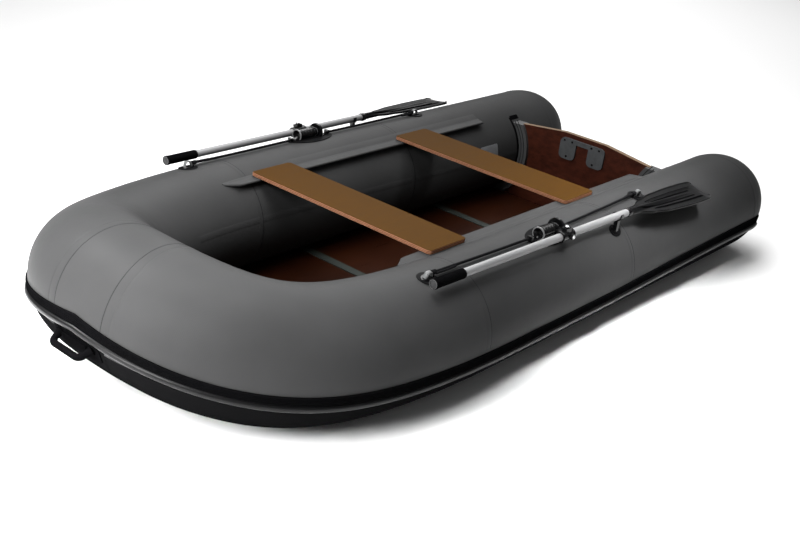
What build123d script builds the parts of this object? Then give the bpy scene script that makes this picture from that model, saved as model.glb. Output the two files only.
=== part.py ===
from build123d import *
import math
import os

os.makedirs("parts", exist_ok=True)

# Frame: +X to the bow, +Y to port, +Z up, millimetres.
# While drawing, x = 0 is the transom's front face and z = 0 the side tubes' axis.

# buoyancy tube
TUBE_R = 213.0
TUBE_Y = 540.0          # side tube axis from the centreline
BEND_X = 1532.0         # where the side tubes start to bend
BOW_X = 2527.0          # tube axis at the bow
BOW_R = 224.0
BOW_HANDLE_A = 789.0    # shape of the bow's plan curve
BOW_HANDLE_B = 360.0
RISE_X = 1911.0
BOW_RISE = 90.0
RISE_POWER = 3.6
PANEL_HALF = 95.0       # half width of the bow's centre panel
TAPER_X = -275.0        # where the stern taper starts
TAPER_LONG = 250.0      # half length of the rounded shoulder
SHOULDER_R = 165.0      # radius where the shoulder meets the cone
CONE_LONG = 46.0
CAP_R = 100.0
SEAT = 0.3              # bedding gap between glued pieces

# bottom fabric and floor
SKIN_T = 5.2
FLOOR_T = 12.0
FLOOR_GAP = 4.0        # floor edge to the tube
FLOOR_BOW_X = 1990.0
FLOOR_AFT_X = 30.0
JOINT_XS = (470.0, 900.0, 1330.0)
JOINT_W = 40.0
JOINT_RISE = 4.0
JOINT_SLOT = 8.0        # between two panels, under the joint profile

# rub strake
STRAKE_T = 5.0
STRAKE_BEAD = 8.0       # bead height past the band
STRAKE_TOP = -7.0       # degrees below the outer horizontal
STRAKE_MID = -16.5
STRAKE_LOW = -23.5
STRAKE_END_X = -335.0
STRAKE_STERN_TURN = 5.0
STRAKE_BOW_TURN = (14.5, 15.0, 16.0)    # how far the three edges turn up to the bow

# transom
BOARD_T = 25.0
BOARD_TOP = 179.0
BOARD_FLAT = 108.5
BOARD_SHOULDER_IN = 36.8    # shoulder from the board's arc
BOARD_SHOULDER_Z = 150.0
BOARD_ARC_TOP = 118.0
BOARD_EDGE = 9.0        # board edge to the tube, inside the holder
HOLDER_IN = 44.0        # holder depth from the tube
HOLDER_LIP = 16.0       # holder past each face of the board
PAD_W = 85.0
PAD_H = 100.0
PAD_GAP = 65.0
PAD_ROUND = 24.0
PAD_T = 8.0
PAD_BRIDGE = 22.0
PAD_DROP = 20.0         # below the board's top edge
OUTER_PAD_W = 240.0
OUTER_PAD_H = 150.0
OUTER_PAD_ROUND = 20.0

# benches and rails
BENCH_GAP = 6.6         # bench end to the tube
BENCH_W = 200.0
BENCH_T = 15.0
BENCH_TOP = 203.4
FRONT_BENCH_X = 1461.0  # aft edge
REAR_BENCH_X = 632.0
RAIL_X0 = 263.0
RAIL_X1 = 1754.0
RAIL_END = 60.0         # slant of the rail's fore end
RAIL_T = 4.0
RAIL_OUT = 39.4         # free edge from the tube's skin
RAIL_BEAD_R = 5.0
RAIL_UNDER = 2.0        # rail top below the bench
RUNNER_W = 16.0
RUNNER_GAP = 0.6

# oarlocks, measured along X from the spindle's middle
LOCK_X = 1188.0
LOCK_OUT = 54.0         # spindle outboard of the tube's axis
LOCK_H = 23.5           # spindle's axis above the skin
SLEEVE_R = 20.0
SLEEVE_AFT = 10.0       # sleeve from the middle to its aft end
SLEEVE_FORE = 78.0      # sleeve from the middle to its open fore end
RIM_R = 22.5
MOUTH_RIM_R = 24.0
RIM_T = 4.0
MOUTH_R = 19.0          # hollow in the fore end
MOUTH_DEEP = 16.0
SPINDLE_R = 10.0
SPINDLE_GAP = 0.08
ARM_GAP = 1.0           # arm to the sleeve and to the ear
ARM_W = 18.0
ARM_R = 14.5
EAR_R = 33.0            # fixed ear aft of the arm
EAR_T = 11.0
FOOT_IN = 29.0          # foot's near side from the spindle's axis
FOOT_H = 18.0
FOOT_GAP = 1.2          # foot to the collar, which lies at a slight angle to it
PATCH_X = 1193.0
PATCH_L = 230.0
PATCH_W = 110.0
PATCH_T = 2.0
BASE_L = 206.0
BASE_W = 64.0
BASE_T = 3.5
LUG_L = 12.0
LUG_W = 20.0
LUG_Y = -5.0
LUG_HIGH = 2.0          # lug's top and foot below the spindle's axis
LUG_LOW = 26.0
LUG_FORE = 122.0        # outer faces of the two lugs
LUG_AFT = 100.0

# oars; each hangs a little outboard of level and swings on its own pin
OAR_OUT = 65.0          # oar axis from the spindle's axis
OAR_YAW = 1.8
OAR_HANG = {1: 0.0, -1: 12.0}
OAR_SWING = {1: 0.0, -1: 0.5}
OAR_TIP_X = 1903.0
SOCKET_X = 796.0        # where the shaft meets the blade
GRIP_L = 146.0
GRIP_R = 17.0
SHAFT_R = 14.0
COLLAR_U = 4.0          # collar's middle from the spindle's middle
COLLAR_R = 19.0
COLLAR_L = 68.0
CLAMP_L = 30.0
CLAMP_W = 24.0
CLAMP_H = 11.0
PIN_U = -6.0
PIN_R = 6.0
NUT_R = 11.0
NUT_H = 8.0
FIT = 0.05
SOCKET_L = 70.0
SOCKET_R = 16.0
BLADE_L = 570.0
BLADE_W = 136.0
BLADE_T = 5.0
BLADE_TILT = {1: 11.0, -1: 7.0}     # outboard edge down
BLADE_DIP = {1: 21.0, -1: 3.0}      # blade's end down

# clips, rope fittings and lines
CLIP_X = 850.0
CLIP_L = 16.0
CLIP_GAP = 1.5
CLIP_WALL = 4.0
CLIP_RISE = 8.0         # jaws above the shaft's axis
CLIP_POST_W = 16.0
CLIP_FOOT_L = 44.0
CLIP_FOOT_W = 34.0
CLIP_PATCH_L = 62.0
CLIP_PATCH_W = 50.0
EYE_X = (1850.0, 540.0)
EYE_OUT = 33.0          # from the tube's top, outboard
EYE_PATCH_R = 36.0
EYE_FOOT_L = 58.0
EYE_FOOT_W = 36.0
EYE_FOOT_T = 3.0
EYE_LONG = 44.0         # strap eye along the tube
EYE_WIDE = 17.0
EYE_HIGH = 27.0
EYE_STRAP = 5.0
EYE_LEAN = 9.0          # how far the strap's legs lean in
LINE_R = 4.5
KNOT_R = 8.5
KNOT_L = 24.0

# bow handle, valves and label
HANDLE_DROP = 15.5      # degrees below the bow's outer horizontal
HANDLE_SPAN = 150.0
HANDLE_OUT = 43.0
HANDLE_R = 11.0
HANDLE_SAG = 8.0        # loop's outer run below its feet
HANDLE_BOSS = 8.0       # raised bar on the plate, inside the loop
PLATE_W = 212.0
PLATE_UP = 14.0         # plate above and below the handle's feet
PLATE_DOWN = 46.0
PLATE_T = 3.0
BOSS_H = 24.0
VALVE_R = 32.0
VALVE_T = 9.0
VALVE_X = 600.0
VALVE_BELOW = 38.3      # side valve's rim below the seat rail, along the skin
BOW_VALVE_T = 0.72
BOW_VALVE_UP = 30.0
LABEL_X = 250.0
LABEL_L = 128.0
LABEL_H = 58.0
LABEL_UP = 15.3
LABEL_T = 1.0


def bow_axis(t):
    """Tube axis of the port bow at t in 0..1."""
    a = (1 - t) ** 3
    b = 3 * (1 - t) ** 2 * t
    c = 3 * (1 - t) * t ** 2
    d = t ** 3
    x = a * BEND_X + b * (BEND_X + BOW_HANDLE_A) + (c + d) * BOW_X
    y = (a + b) * TUBE_Y + c * BOW_HANDLE_B
    return x, y, rise(x)


def radius(x):
    u = min(max((x - BEND_X) / (BOW_X - BEND_X), 0.0), 1.0)
    return TUBE_R + (BOW_R - TUBE_R) * u * u


def rise(x):
    """Height of the axis; the underside stays level as far as RISE_X."""
    u = min(max((x - RISE_X) / (BOW_X - RISE_X), 0.0), 1.0)
    return radius(x) - TUBE_R + (BOW_RISE - BOW_R + TUBE_R) * u ** RISE_POWER


def find_t(test):
    """Smallest t where test(point) is true."""
    lo, hi = 0.0, 1.0
    for _ in range(60):
        mid = (lo + hi) / 2
        if test(bow_axis(mid)):
            hi = mid
        else:
            lo = mid
    return hi


def station(t, side):
    """Axis point, outward and upward unit vectors and direction at t."""
    e = 1e-4
    t0, t1 = max(t - e, 0.0), min(t + e, 1.0)
    p, q = Vector(*bow_axis(t0)), Vector(*bow_axis(t1))
    d = (q - p).normalized()
    if t >= 1.0:
        d = Vector(0, -1, 0)
    c = Vector(*bow_axis(t))
    out = Vector(-d.Y, d.X, 0).normalized()
    up = out.cross(d) * -1
    if up.Z < 0:
        up = up * -1
    if side < 0:
        c, d, out, up = [Vector(v.X, -v.Y, v.Z) for v in (c, d, out, up)]
    return c, out, up, d


def ring(t, side, extra=0.0):
    c, out, up, d = station(t, side)
    along = d if side > 0 else d * -1
    return Plane(origin=c, x_dir=out, z_dir=along) * Circle(radius(c.X) + extra)


def on_tube(c, out, up, r, deg):
    a = math.radians(deg)
    return c + out * (r * math.cos(a)) + up * (r * math.sin(a))


def mirrored(solid):
    return mirror(solid, about=Plane.XZ)


def tube_top_z(y):
    return math.sqrt(TUBE_R ** 2 - (abs(y) - TUBE_Y) ** 2)


def along_x(r, x0, x1, y=0.0, z=0.0):
    return Pos((x0 + x1) / 2, y, z) * Rot(0, 90, 0) * Cylinder(r, x1 - x0)


def pipe(r, wall, x0, x1, y=TUBE_Y):
    """A shell of inner radius r round a side tube."""
    return along_x(r + wall, x0, x1, y) - along_x(r, x0 - 1, x1 + 1, y)


def polygon(*points):
    return make_face(Polyline(*points, close=True))


def tenth(v):
    """Rounds a made size to a tenth of a millimetre."""
    return round(v, 1)


def skin_y(z, r=TUBE_R):
    """Inboard face, at height z, of a cylinder of radius r round the port tube's axis."""
    return TUBE_Y - math.sqrt(r ** 2 - z ** 2)


LOCK_Y = TUBE_Y + LOCK_OUT
LOCK_Z = tenth(tube_top_z(LOCK_Y) + LOCK_H)


nodes = {}

# ---------------------------------------------------------------- tubes
port_tube = along_x(TUBE_R, TAPER_X, BEND_X, TUBE_Y)
nodes["port_tube"] = port_tube
nodes["starboard_tube"] = mirrored(port_tube)


def stern_radius(x):
    """Tube radius at x on the rounded shoulder."""
    v = min(max((TAPER_X - x) / TAPER_LONG, 0.0), 1.0)
    return TUBE_R * math.sqrt(1 - v * v)


shoulder_x = TAPER_X - TAPER_LONG * math.sqrt(1 - (SHOULDER_R / TUBE_R) ** 2)
cone_x = shoulder_x - CONE_LONG
profile = [(TAPER_X + (shoulder_x - TAPER_X) * i / 8) for i in range(9)]
with BuildSketch(Plane.XY) as stern_half:
    with BuildLine():
        l1 = Line((TAPER_X, 0), (TAPER_X, TUBE_R))
        slope = (TUBE_R / TAPER_LONG) ** 2 * (TAPER_X - shoulder_x) / SHOULDER_R
        l2 = Spline([(x, stern_radius(x)) for x in profile], tangents=[(-1, 0), (-1, -slope)])
        l3 = Line((shoulder_x, SHOULDER_R), (cone_x, CAP_R))
        l4 = Line((cone_x, CAP_R), (cone_x, 0))
        l5 = Line((cone_x, 0), (TAPER_X, 0))
    make_face()
stern = Pos(0, TUBE_Y, 0) * revolve(stern_half.sketch, axis=Axis.X)
nodes["port_stern_cone"] = stern
nodes["starboard_stern_cone"] = mirrored(stern)

T_PANEL = find_t(lambda p: p[1] <= PANEL_HALF)
side_ts = [T_PANEL * i / 11 for i in range(12)]
bow_port = loft([ring(t, 1) for t in side_ts])
nodes["bow_tube_port"] = bow_port
nodes["bow_tube_starboard"] = mirrored(bow_port)
mid_t = (T_PANEL + 1) / 2
bow_outer = loft([ring(t, 1, SEAT) for t in side_ts])
centre_rings = [ring(T_PANEL, 1), ring(mid_t, 1), ring(1.0, 1), ring(mid_t, -1), ring(T_PANEL, -1)]
nodes["bow_tube_centre"] = loft(centre_rings)

# ---------------------------------------------------------------- bottom fabric


def skin_in(r):
    """Inboard distance where the skin's upper corner just meets the tube."""
    return math.sqrt(r ** 2 - (r - SKIN_T - SEAT) ** 2)


def skin_section(x, half, z):
    plane = Plane(origin=(x, 0, 0), x_dir=(0, 1, 0), z_dir=(1, 0, 0))
    return plane * polygon((-half, z), (half, z), (half, z + SKIN_T), (-half, z + SKIN_T))


straight_half = TUBE_Y - skin_in(TUBE_R)
skin_parts = [skin_section(x, straight_half, -TUBE_R) for x in (-BOARD_T - HOLDER_LIP, BEND_X)]
for i in range(1, 25):
    t = 0.93 * i / 24
    # inboard point of the tube's underside, square to the rising axis
    c, out, up, d = station(t, 1)
    up = d.cross(out).normalized()
    up = up if up.Z > 0 else up * -1
    p = c - out * (skin_in(radius(c.X)) + SEAT) - up * radius(c.X)
    skin_parts.append(skin_section(p.X, p.Y, p.Z))
nodes["hull_bottom"] = loft(skin_parts, ruled=True)

# ---------------------------------------------------------------- floor
floor_z = -TUBE_R + SKIN_T + SEAT
floor_top = floor_z + FLOOR_T
floor_in = math.sqrt(TUBE_R ** 2 - floor_top ** 2) + FLOOR_GAP
edge = [(FLOOR_AFT_X, TUBE_Y - floor_in), (BEND_X, TUBE_Y - floor_in)]
t = 0.0
while True:
    t += 0.03
    c, out, up, d = station(t, 1)
    p = c - out * floor_in
    if p.X > FLOOR_BOW_X:
        break
    edge.append((p.X, p.Y))
last = edge[-1]
edge.append((FLOOR_BOW_X, last[1] - (FLOOR_BOW_X - last[0]) * 1.1))
outline = edge + [(x, -y) for x, y in reversed(edge)]
floor_face = polygon(*outline)
floor = Pos(0, 0, floor_z) * extrude(floor_face, FLOOR_T)
strips = []
for x in JOINT_XS:
    floor -= Pos(x, 0, floor_z) * Box(JOINT_SLOT, 2 * TUBE_Y, 4 * FLOOR_T)
    half = TUBE_Y - math.sqrt(TUBE_R ** 2 - (floor_top + SEAT + JOINT_RISE) ** 2) - 1
    top = Pos(x, 0, floor_top + SEAT + JOINT_RISE / 2) * Box(JOINT_W, 2 * half, JOINT_RISE)
    web = Pos(x, 0, floor_z + (FLOOR_T + SEAT) / 2) * Box(JOINT_SLOT - 2 * SEAT, 2 * half, FLOOR_T + SEAT)
    strips.append(top + web)
nodes["floorboards"] = floor
nodes["floor_joint_profiles"] = Compound(children=strips)

# ---------------------------------------------------------------- transom
board_low = -TUBE_R + SKIN_T + SEAT


def arc_edge(r, z_hi, z_lo, n=14):
    """Points on the inboard arc of radius r about the port tube axis."""
    a_hi = math.asin(z_hi / r)
    a_lo = math.asin(max(z_lo / r, -0.999))
    pts = []
    for i in range(n + 1):
        a = a_hi + (a_lo - a_hi) * i / n
        pts.append((TUBE_Y - r * math.cos(a), r * math.sin(a)))
    return pts


board_r = TUBE_R + BOARD_EDGE
shoulder_y = tenth(skin_y(BOARD_SHOULDER_Z, board_r) - BOARD_SHOULDER_IN)
half = [(BOARD_FLAT, BOARD_TOP), (shoulder_y, BOARD_SHOULDER_Z)]
half += arc_edge(board_r, BOARD_ARC_TOP, board_low + 6.0)
half += [(half[-1][0], board_low)]
shape = half + [(-y, z) for y, z in reversed(half)]
yz = Plane(origin=(0, 0, 0), x_dir=(0, 1, 0), z_dir=(1, 0, 0))
board = Pos(-BOARD_T, 0, 0) * extrude(yz * polygon(*shape), BOARD_T)
nodes["transom_board"] = board

hold_x = -BOARD_T - HOLDER_LIP
hold_ring = pipe(TUBE_R + SEAT, HOLDER_IN - SEAT, hold_x, HOLDER_LIP)
hold_high = BOARD_SHOULDER_Z + 4
hold_low = board_low + 5
hold_inner = TUBE_Y - 2 * TUBE_R
hold_face = yz * polygon(
    (hold_inner, hold_high),
    (TUBE_Y - 0.55 * TUBE_R, hold_high - 8),
    (TUBE_Y - 0.4 * TUBE_R, 0),
    (TUBE_Y - 20, hold_low),
    (hold_inner, hold_low),
)
holder = hold_ring & (Pos(hold_x, 0, 0) * extrude(hold_face, BOARD_T + 2 * HOLDER_LIP))
slot_face = yz * polygon(*[(y + math.copysign(SEAT, y), z) for y, z in shape])
slot = Pos(-BOARD_T - SEAT, 0, 0) * extrude(slot_face, BOARD_T + 2 * SEAT)
holder -= slot
nodes["port_transom_holder"] = holder
nodes["starboard_transom_holder"] = mirrored(holder)

pad_top = BOARD_TOP - PAD_DROP
pads = Part()
for s in (1, -1):
    pads += Pos(0, s * (PAD_GAP + PAD_W) / 2, pad_top - PAD_H / 2) * Box(PAD_T, PAD_W, PAD_H)
pads = fillet(pads.edges().filter_by(Axis.X), PAD_ROUND)
pads += Pos(0, 0, pad_top - PAD_BRIDGE / 2) * Box(PAD_T, PAD_GAP + PAD_W, PAD_BRIDGE)
nodes["motor_plate_inner"] = Pos(PAD_T / 2 + SEAT, 0, 0) * pads
outer = Box(PAD_T, OUTER_PAD_W, OUTER_PAD_H)
outer = fillet(outer.edges().filter_by(Axis.X), OUTER_PAD_ROUND)
nodes["motor_plate_outer"] = Pos(-BOARD_T - SEAT - PAD_T / 2, 0, pad_top - OUTER_PAD_H / 2) * outer

# ---------------------------------------------------------------- rub strake


def strake_section(c, out, up, r, top, mid, low):
    pts = []
    for i in range(5):
        pts.append(on_tube(c, out, up, r + SEAT, low + (top - low) * i / 4))
    pts.append(on_tube(c, out, up, r + STRAKE_T, top))
    pts.append(on_tube(c, out, up, r + STRAKE_T, mid))
    for f, h in ((0.1, 0.75), (0.3, 1.0), (0.7, 1.0), (0.93, 0.7)):
        pts.append(on_tube(c, out, up, r + STRAKE_T + STRAKE_BEAD * h, mid + (low - mid) * f))
    pts.append(on_tube(c, out, up, r + STRAKE_T, low))
    return make_face(Wire.make_polygon(pts, close=True))


bow_sections = []
for t in side_ts + [mid_t, 1.0]:
    c, out, up, d = station(t, 1)
    top = STRAKE_TOP + STRAKE_BOW_TURN[0] * t ** 3
    mid = STRAKE_MID + STRAKE_BOW_TURN[1] * t ** 2
    low = STRAKE_LOW + STRAKE_BOW_TURN[2] * t ** 2
    bow_sections.append(strake_section(c, out, up, radius(c.X), top, mid, low))
bow_strake = loft(bow_sections)
nodes["bow_rub_strake_port"] = bow_strake
nodes["bow_rub_strake_starboard"] = mirrored(bow_strake)


def side_strake_section(x, r, turn):
    g = STRAKE_STERN_TURN * turn
    centre, out, up = Vector(x, TUBE_Y, 0), Vector(0, 1, 0), Vector(0, 0, 1)
    return strake_section(centre, out, up, r, STRAKE_TOP + g, STRAKE_MID + g, STRAKE_LOW + g)


turns = ((BEND_X, 0.0), (900.0, 0.0), (500.0, 0.55), (100.0, 0.9), (TAPER_X, 1.0))
side_strake = loft([side_strake_section(x, TUBE_R, turn) for x, turn in turns])
tail_xs = [TAPER_X + (STRAKE_END_X - TAPER_X) * i / 3 for i in range(4)]
side_strake += loft([side_strake_section(x, stern_radius(x), 1.0) for x in tail_xs])
nodes["port_rub_strake"] = side_strake
nodes["starboard_rub_strake"] = mirrored(side_strake)

# ---------------------------------------------------------------- seat rails and benches
bench_low = BENCH_TOP - BENCH_T
rail_top = bench_low - RAIL_UNDER
bead_z = rail_top - RAIL_BEAD_R
rail_z = bead_z + RAIL_BEAD_R - RAIL_T
root_y = skin_y(rail_z, TUBE_R + SEAT)
edge_y = tenth(root_y - RAIL_OUT)
rail_edge = ((RAIL_X0, edge_y), (RAIL_X1, edge_y))
rail_face = polygon(*rail_edge, (RAIL_X1 + RAIL_END, root_y), (RAIL_X0 - 20, root_y))
rail = Pos(0, 0, rail_z) * extrude(rail_face, RAIL_T)
rail -= along_x(TUBE_R + SEAT, RAIL_X0 - 100, BEND_X, TUBE_Y)
rail -= bow_outer
rail += along_x(RAIL_BEAD_R, RAIL_X0, RAIL_X1, edge_y, bead_z)
nodes["port_seat_rail"] = rail
nodes["starboard_seat_rail"] = mirrored(rail)


bench_l = 2 * tenth(skin_y(bench_low) - BENCH_GAP)


def bench(x0):
    board = Pos(x0 + BENCH_W / 2, 0, BENCH_TOP - BENCH_T / 2) * Box(BENCH_W, bench_l, BENCH_T)
    board = fillet(board.edges().filter_by(Axis.Z), 14)
    return fillet(board.faces().sort_by(Axis.Z)[-1].edges() + board.faces().sort_by(Axis.Z)[0].edges(), 2)


def runners(x0):
    """Channels under the bench that hook round the rails' beads."""
    hole_r = RAIL_BEAD_R + RUNNER_GAP
    y_in = edge_y - hole_r - 5.0
    y_out = edge_y + hole_r * 0.4
    z_hi = bench_low - SEAT
    z_lo = bead_z - hole_r - 4.0
    x_mid = x0 + BENCH_W / 2
    body = Box(BENCH_W - 2 * RUNNER_W, y_out - y_in, z_hi - z_lo)
    body = Pos(x_mid, (y_in + y_out) / 2, (z_hi + z_lo) / 2) * body
    body -= along_x(hole_r, x0 - 10, x0 + BENCH_W + 10, edge_y, bead_z)
    cut_hi = bench_low
    cut_lo = bead_z - hole_r * 0.2
    cut = Box(BENCH_W + 20, 40, cut_hi - cut_lo)
    body -= Pos(x_mid, edge_y + 20, (cut_hi + cut_lo) / 2) * cut
    return Compound(children=[body, mirrored(body)])


nodes["front_bench_board"] = bench(FRONT_BENCH_X)
nodes["front_bench_runners"] = runners(FRONT_BENCH_X)
nodes["rear_bench_board"] = bench(REAR_BENCH_X)
nodes["rear_bench_runners"] = runners(REAR_BENCH_X)

# ---------------------------------------------------------------- oarlocks
shell_in = TUBE_R + SEAT


def radial_plane(x, y, r):
    """Plane on the port tube at height r from its axis, facing outwards, over y."""
    a = math.asin((y - TUBE_Y) / r)
    n = Vector(0, math.sin(a), math.cos(a))
    return Plane(origin=(x, TUBE_Y + r * math.sin(a), r * math.cos(a)), x_dir=(1, 0, 0), z_dir=n)


def cap_patch(x, y, length, width, r_in, thick):
    shell = pipe(r_in, thick, x - length, x + length)
    plane = radial_plane(x, y, r_in + thick / 2)
    return shell & (plane * extrude(Ellipse(length / 2, width / 2), 60, both=True))


plate_r = shell_in + PATCH_T + SEAT
arm_fore = -SLEEVE_AFT - ARM_GAP
arm_aft = arm_fore - ARM_W
ear_fore = arm_aft - ARM_GAP
ear_aft = ear_fore - EAR_T
spindle_aft = ear_fore - EAR_T / 2
spindle_fore = SLEEVE_FORE - MOUTH_DEEP - 1
foot_to = OAR_OUT - COLLAR_R - FOOT_GAP


def at_lock(side, local):
    """Places a piece drawn about the port spindle's middle; starboard is its mirror image."""
    placed = Pos(LOCK_X, LOCK_Y, LOCK_Z) * local
    return placed if side > 0 else mirrored(placed)


def hung(side, local):
    """Turns a piece about the spindle to where the oar rests."""
    return Rot(-OAR_HANG[side], 0, 0) * local


def block(x0, x1, y, width, z0, z1):
    """A box from x0 to x1 and z0 to z1, centred on y."""
    return Pos((x0 + x1) / 2, y, (z0 + z1) / 2) * Box(x1 - x0, width, z1 - z0)


def lock_base():
    """Sleeve, ear and two rope lugs on a curved base plate."""
    body = along_x(SLEEVE_R, -SLEEVE_AFT, SLEEVE_FORE)
    body += along_x(RIM_R, -SLEEVE_AFT, -SLEEVE_AFT + RIM_T)
    body += along_x(MOUTH_RIM_R, SLEEVE_FORE - RIM_T, SLEEVE_FORE)
    body += block(-SLEEVE_AFT, SLEEVE_FORE, 0, 30, -1.5 * SLEEVE_R, -0.5 * SLEEVE_R)
    body += along_x(EAR_R, ear_aft, ear_fore)
    body += block(ear_aft, ear_fore, 0, 40, -EAR_R, 0)
    body += block(LUG_FORE - LUG_L, LUG_FORE, LUG_Y, LUG_W, -LUG_LOW, -LUG_HIGH)
    body += block(SLEEVE_FORE - LUG_L, LUG_FORE - LUG_L, LUG_Y, 12, -28, -16)
    body += block(-LUG_AFT, -LUG_AFT + LUG_L, LUG_Y, LUG_W, -LUG_LOW, -LUG_HIGH)
    body += block(-LUG_AFT + LUG_L, ear_aft, LUG_Y, 12, -28, -16)
    body -= along_x(SPINDLE_R + SPINDLE_GAP, spindle_aft - 0.5, spindle_fore + 0.5)
    body -= Pos(SLEEVE_FORE - MOUTH_DEEP / 2, 0, 0) * Rot(0, 90, 0) * Cone(SPINDLE_R - 2, MOUTH_R, MOUTH_DEEP)
    body = Pos(LOCK_X, LOCK_Y, LOCK_Z) * body
    plate = cap_patch(PATCH_X, LOCK_Y, BASE_L, BASE_W, plate_r, BASE_T)
    return (body - along_x(plate_r + BASE_T * 0.4, LOCK_X - PATCH_L, LOCK_X + PATCH_L, TUBE_Y)) + plate


def lock_swivel(side):
    """Spindle, arm, foot and the oar's pin with its nut."""
    body = along_x(SPINDLE_R, spindle_aft, spindle_fore)
    body += along_x(ARM_R, arm_aft, arm_fore)
    half_h = FOOT_H / 2
    body += block(arm_aft, arm_fore, foot_to / 2, foot_to, -half_h, half_h)
    foot_fore = PIN_U + PIN_R + 6
    body += block(arm_aft, foot_fore, (FOOT_IN + foot_to) / 2, foot_to - FOOT_IN, -half_h, half_h)
    pin_to = OAR_OUT + COLLAR_R + NUT_H
    body += Pos(PIN_U, (FOOT_IN + pin_to) / 2, 0) * Rot(90, 0, 0) * Cylinder(PIN_R, pin_to - FOOT_IN)
    nut = extrude(RegularPolygon(NUT_R, 6), NUT_H)
    body += Pos(PIN_U, OAR_OUT + COLLAR_R + 1, 0) * Rot(-90, 0, 0) * nut
    return at_lock(side, hung(side, body))


def oar_frame(side):
    """The oar's own frame: X along the shaft from the collar's middle, in the spindle's frame."""
    swing = Pos(PIN_U, OAR_OUT, 0) * Rot(0, -OAR_SWING[side], 0) * Pos(COLLAR_U - PIN_U, 0, 0)
    return Rot(-OAR_HANG[side], 0, 0) * swing * Rot(0, 0, -OAR_YAW)


def oar_axis(side):
    """A point and the direction of the shaft's axis, drawn to port."""
    frame = Pos(LOCK_X, LOCK_Y, LOCK_Z) * oar_frame(side)
    origin = frame.position
    return origin, (frame * Pos(1, 0, 0)).position - origin


def oar(side):
    """Collar, shaft, grip and blade of one oar, in place."""
    frame = oar_frame(side)
    origin, along = oar_axis(side)
    fore, aft = (OAR_TIP_X - origin.X) / along.X, (origin.X - SOCKET_X) / along.X
    pin_hole = hung(side, Pos(PIN_U, OAR_OUT, 0) * Rot(90, 0, 0) * Cylinder(PIN_R + FIT, 90))
    collar = along_x(COLLAR_R, -COLLAR_L / 2, COLLAR_L / 2)
    collar += Pos(0, 0, COLLAR_R + CLAMP_H / 2 - 3) * Box(CLAMP_L, CLAMP_W, CLAMP_H + 6)
    collar += Pos(0, 0, COLLAR_R + CLAMP_H - 1) * extrude(RegularPolygon(9, 6), 7)
    collar -= along_x(SHAFT_R + FIT, -COLLAR_L, COLLAR_L)
    shaft = along_x(SHAFT_R, -aft, fore - GRIP_L - SEAT)
    grip = along_x(GRIP_R, fore - GRIP_L, fore - 4) + along_x(GRIP_R + 1, fore - 7, fore)
    half = BLADE_W / 2
    socket_x = -3 * SEAT
    edge = [
        (socket_x, SOCKET_R),
        (-0.12 * BLADE_L, 0.3 * half),
        (-0.26 * BLADE_L, 0.65 * half),
        (-0.44 * BLADE_L, 0.88 * half),
        (-0.67 * BLADE_L, half),
        (45 - BLADE_L, half),
        (8 - BLADE_L, half - 14),
        (-BLADE_L, half - 34),
    ]
    outline = edge + [(x, -y) for x, y in reversed(edge)]
    blade = Pos(0, 0, -BLADE_T / 2) * extrude(polygon(*outline), BLADE_T)
    blade += Pos(-BLADE_L * 0.45 - 3, 0, 0) * Rot(0, 90, 0) * Cone(5, SOCKET_R - 0.5, BLADE_L * 0.9 - 6)
    blade += along_x(SOCKET_R, -SOCKET_L, socket_x)
    dip = math.degrees(math.atan(BLADE_DIP[side] / BLADE_L))
    tilt = BLADE_TILT[side] - OAR_HANG[side]
    blade = Pos(-aft, 0, 0) * Rot(0, -dip, 0) * Rot(-tilt, 0, 0) * blade
    pieces = ((frame * collar) - pin_hole, (frame * shaft) - pin_hole, frame * grip, frame * blade)
    return [at_lock(side, piece) for piece in pieces]


base = lock_base()
for side, word in ((1, "port"), (-1, "starboard")):
    nodes[word + "_oarlock_base"] = base if side > 0 else mirrored(base)
    nodes[word + "_oarlock_swivel"] = lock_swivel(side)
    collar, shaft, grip, blade = oar(side)
    nodes[word + "_oar_collar"] = collar
    nodes[word + "_oar_shaft"] = shaft
    nodes[word + "_oar_grip"] = grip
    nodes[word + "_oar_blade"] = blade
lock_patch = cap_patch(PATCH_X, LOCK_Y - 8, PATCH_L, PATCH_W, shell_in, PATCH_T)
nodes["oarlock_patches"] = Compound(children=[lock_patch, mirrored(lock_patch)])

# ---------------------------------------------------------------- oar clips


def oar_clip(side):
    """Cradle under the shaft, its foot and its patch."""
    origin, along = oar_axis(side)
    p = origin + along * ((CLIP_X - origin.X) / along.X)
    inner = SHAFT_R + CLIP_GAP
    outer = inner + CLIP_WALL
    end = CLIP_L / 2
    clip = along_x(outer, -end, end) + block(-end, end, 0, 2 * outer, 0, CLIP_RISE)
    clip += block(-end, end, 0, CLIP_POST_W, -60, -10)
    clip -= along_x(inner, -CLIP_L, CLIP_L)
    clip -= block(-CLIP_L, CLIP_L, 0, 2 * inner, 0, 60)
    clip -= block(-CLIP_L, CLIP_L, 0, 4 * outer, CLIP_RISE, 60)
    clip = Pos(CLIP_X, p.Y, p.Z) * hung(side, clip)
    clip -= along_x(plate_r + 1, CLIP_X - 50, CLIP_X + 50, TUBE_Y)
    clip += cap_patch(CLIP_X, p.Y, CLIP_FOOT_L, CLIP_FOOT_W, plate_r, 2.5)
    patch = cap_patch(CLIP_X, p.Y, CLIP_PATCH_L, CLIP_PATCH_W, shell_in, PATCH_T)
    return (clip, patch) if side > 0 else (mirrored(clip), mirrored(patch))


clips = [oar_clip(1), oar_clip(-1)]
nodes["oar_clips"] = Compound(children=[c[0] for c in clips])
nodes["oar_clip_patches"] = Compound(children=[c[1] for c in clips])

# ---------------------------------------------------------------- rope eyes and grab lines
eye_y = TUBE_Y + EYE_OUT
eye_half = EYE_LONG / 2


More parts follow.
